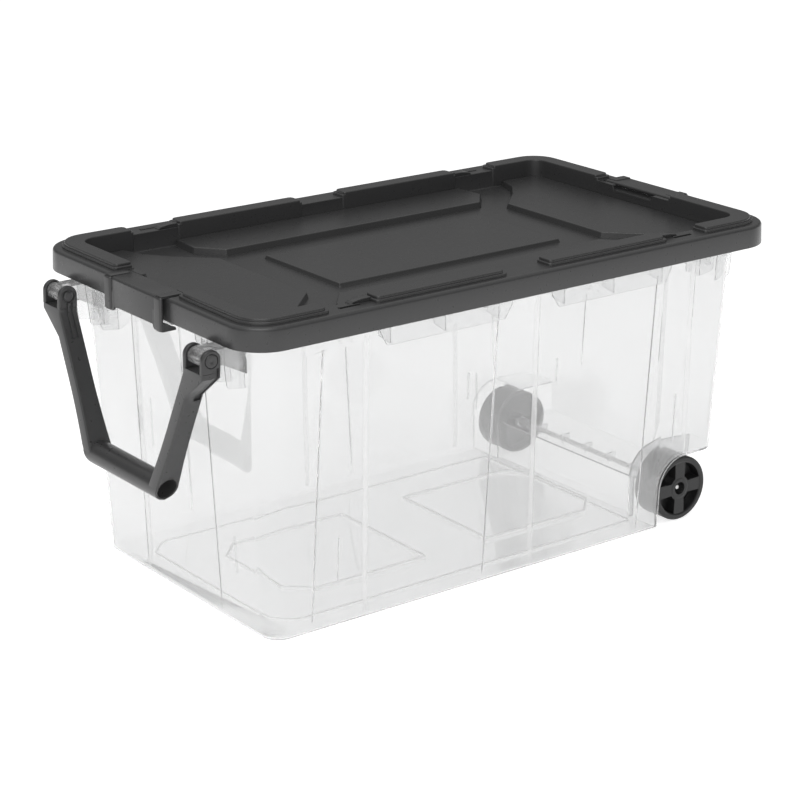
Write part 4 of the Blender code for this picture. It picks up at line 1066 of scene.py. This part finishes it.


# the strips and beads in these whiter finishes are painted highlights along edges of the clear plastic
paintedHighlight = finishes["frostedEdges"]
for name, parts, finish, weld in (
    ("tub_slope_bands", slopeBands(tubSizes), paintedHighlight, 0.0),
    ("tub_arch_beads", archLines(tubSizes), paintedHighlight, 0.0),
    ("tub_floor_beads", floorLines(tubSizes), finishes["whitenedBeads"], 0.0),
    ("tub_wall_ribs", wallMarks(tubSizes, markSizes), clearPlastic, 0.0),
    ("tub_rim", [tubRim(tubSizes, tubTrim)], clearPlastic, 0.000005),
    ("tub_finger_flaps", tubFlaps(tubSizes, tubTrim), clearPlastic, 0.0),
    ("tub_end_ribs", endRibs(tubSizes, tubTrim), clearPlastic, 0.0),
    ("handle_knuckles", knuckles(tubTrim, handleSizes), finishes["thickSleevePlastic"], 0.0),
    ("axle_saddles", axleSaddles(tubSizes, tubTrim), clearPlastic, 0.0),
):
    finishPiece(objectOf(name, parts, weld), finish, "tub_body")
print("tub done")


# Floor and light
stageSettings = {
    "size": 14.0, "glow": 0.56, "drop": 0.0006, "aim": (0, 0, 0.25),
    "paper": {"colour": (0.88, 0.88, 0.88), "drift": 0.02, "grain": 40.0, "rough": 0.85, "spread": 0.05,
              "bump": (0.02, 0.001)},
    "sky": {"From Min": 0.36, "From Max": 0.60, "To Min": 0.24, "To Max": 0.66},
    "lamps": (("topLamp", (-0.9, -0.7, 2.6), 20.0, 1.6), ("frontLamp", (-3.6, -3.4, 2.2), 62.0, 5.0)),
}


def makeFloor(settings):
    # A wide pale sheet just under the object, which glows a little so that it stays white in soft light.
    size, drop = settings["size"], -settings["drop"]
    sheet = patch([(-size, -size, drop), (size, -size, drop), (size, size, drop), (-size, size, drop)])
    mesh = bpy.data.meshes.new("paperFloor")
    mesh.from_pydata(sheet[0].tolist(), [], sheet[1])
    paper = mouldedFinish("paleFloor", settings["paper"])
    shader = paper.node_tree.nodes["Principled BSDF"]
    shader.inputs["Emission Color"].default_value = (1.0, 1.0, 1.0, 1.0)
    shader.inputs["Emission Strength"].default_value = settings["glow"]
    mesh.materials.append(paper)
    floor = bpy.data.objects.new("paperFloor", mesh)
    bpy.context.scene.collection.objects.link(floor)


def makeSky(settings):
    # A surround that brightens with height; seen straight or through clear plastic, it is plain white.
    world = bpy.data.worlds.new("softStudio")
    world.use_nodes = True
    tree = world.node_tree
    background = tree.nodes["Background"]
    background.inputs["Color"].default_value = (1.0, 1.0, 1.0, 1.0)
    way = addNode(tree, "ShaderNodeTexCoord")
    split = addNode(tree, "ShaderNodeSeparateXYZ")
    rise = addNode(tree, "ShaderNodeMapRange", settings["sky"])
    path = addNode(tree, "ShaderNodeLightPath")
    seen = addNode(tree, "ShaderNodeMath", operation="MAXIMUM")
    strength = addNode(tree, "ShaderNodeMath", operation="MAXIMUM")
    linkNodes(tree, (
        (way.outputs["Generated"], split.inputs[0]),
        (split.outputs["Z"], rise.inputs["Value"]),
        (path.outputs["Is Camera Ray"], seen.inputs[0]),
        (path.outputs["Is Transmission Ray"], seen.inputs[1]),
        (rise.outputs["Result"], strength.inputs[0]),
        (seen.outputs[0], strength.inputs[1]),
        (strength.outputs[0], background.inputs["Strength"]),
    ))
    bpy.context.scene.world = world


def makeLamps(settings):
    # Broad lamps turned to the object that cast no shadow of their own.
    for name, place, power, width in settings["lamps"]:
        data = bpy.data.lights.new(name, "AREA")
        data.energy = power
        data.size = width
        data.use_shadow = False
        lamp = bpy.data.objects.new(name, data)
        bpy.context.scene.collection.objects.link(lamp)
        back = Vector(place) - Vector(settings["aim"])
        lamp.matrix_world = Matrix.Translation(place) @ back.to_track_quat("Z", "Y").to_matrix().to_4x4()


makeFloor(stageSettings)
makeSky(stageSettings)
makeLamps(stageSettings)
scene = bpy.context.scene
scene.view_settings.view_transform = "Standard"
scene.view_settings.look = "None"
scene.cycles.use_denoising = True
scene.cycles.max_bounces = 28
scene.cycles.transmission_bounces = 26
scene.cycles.transparent_max_bounces = 26
scene.cycles.glossy_bounces = 8
scene.cycles.diffuse_bounces = 6
print("stage and light ready")
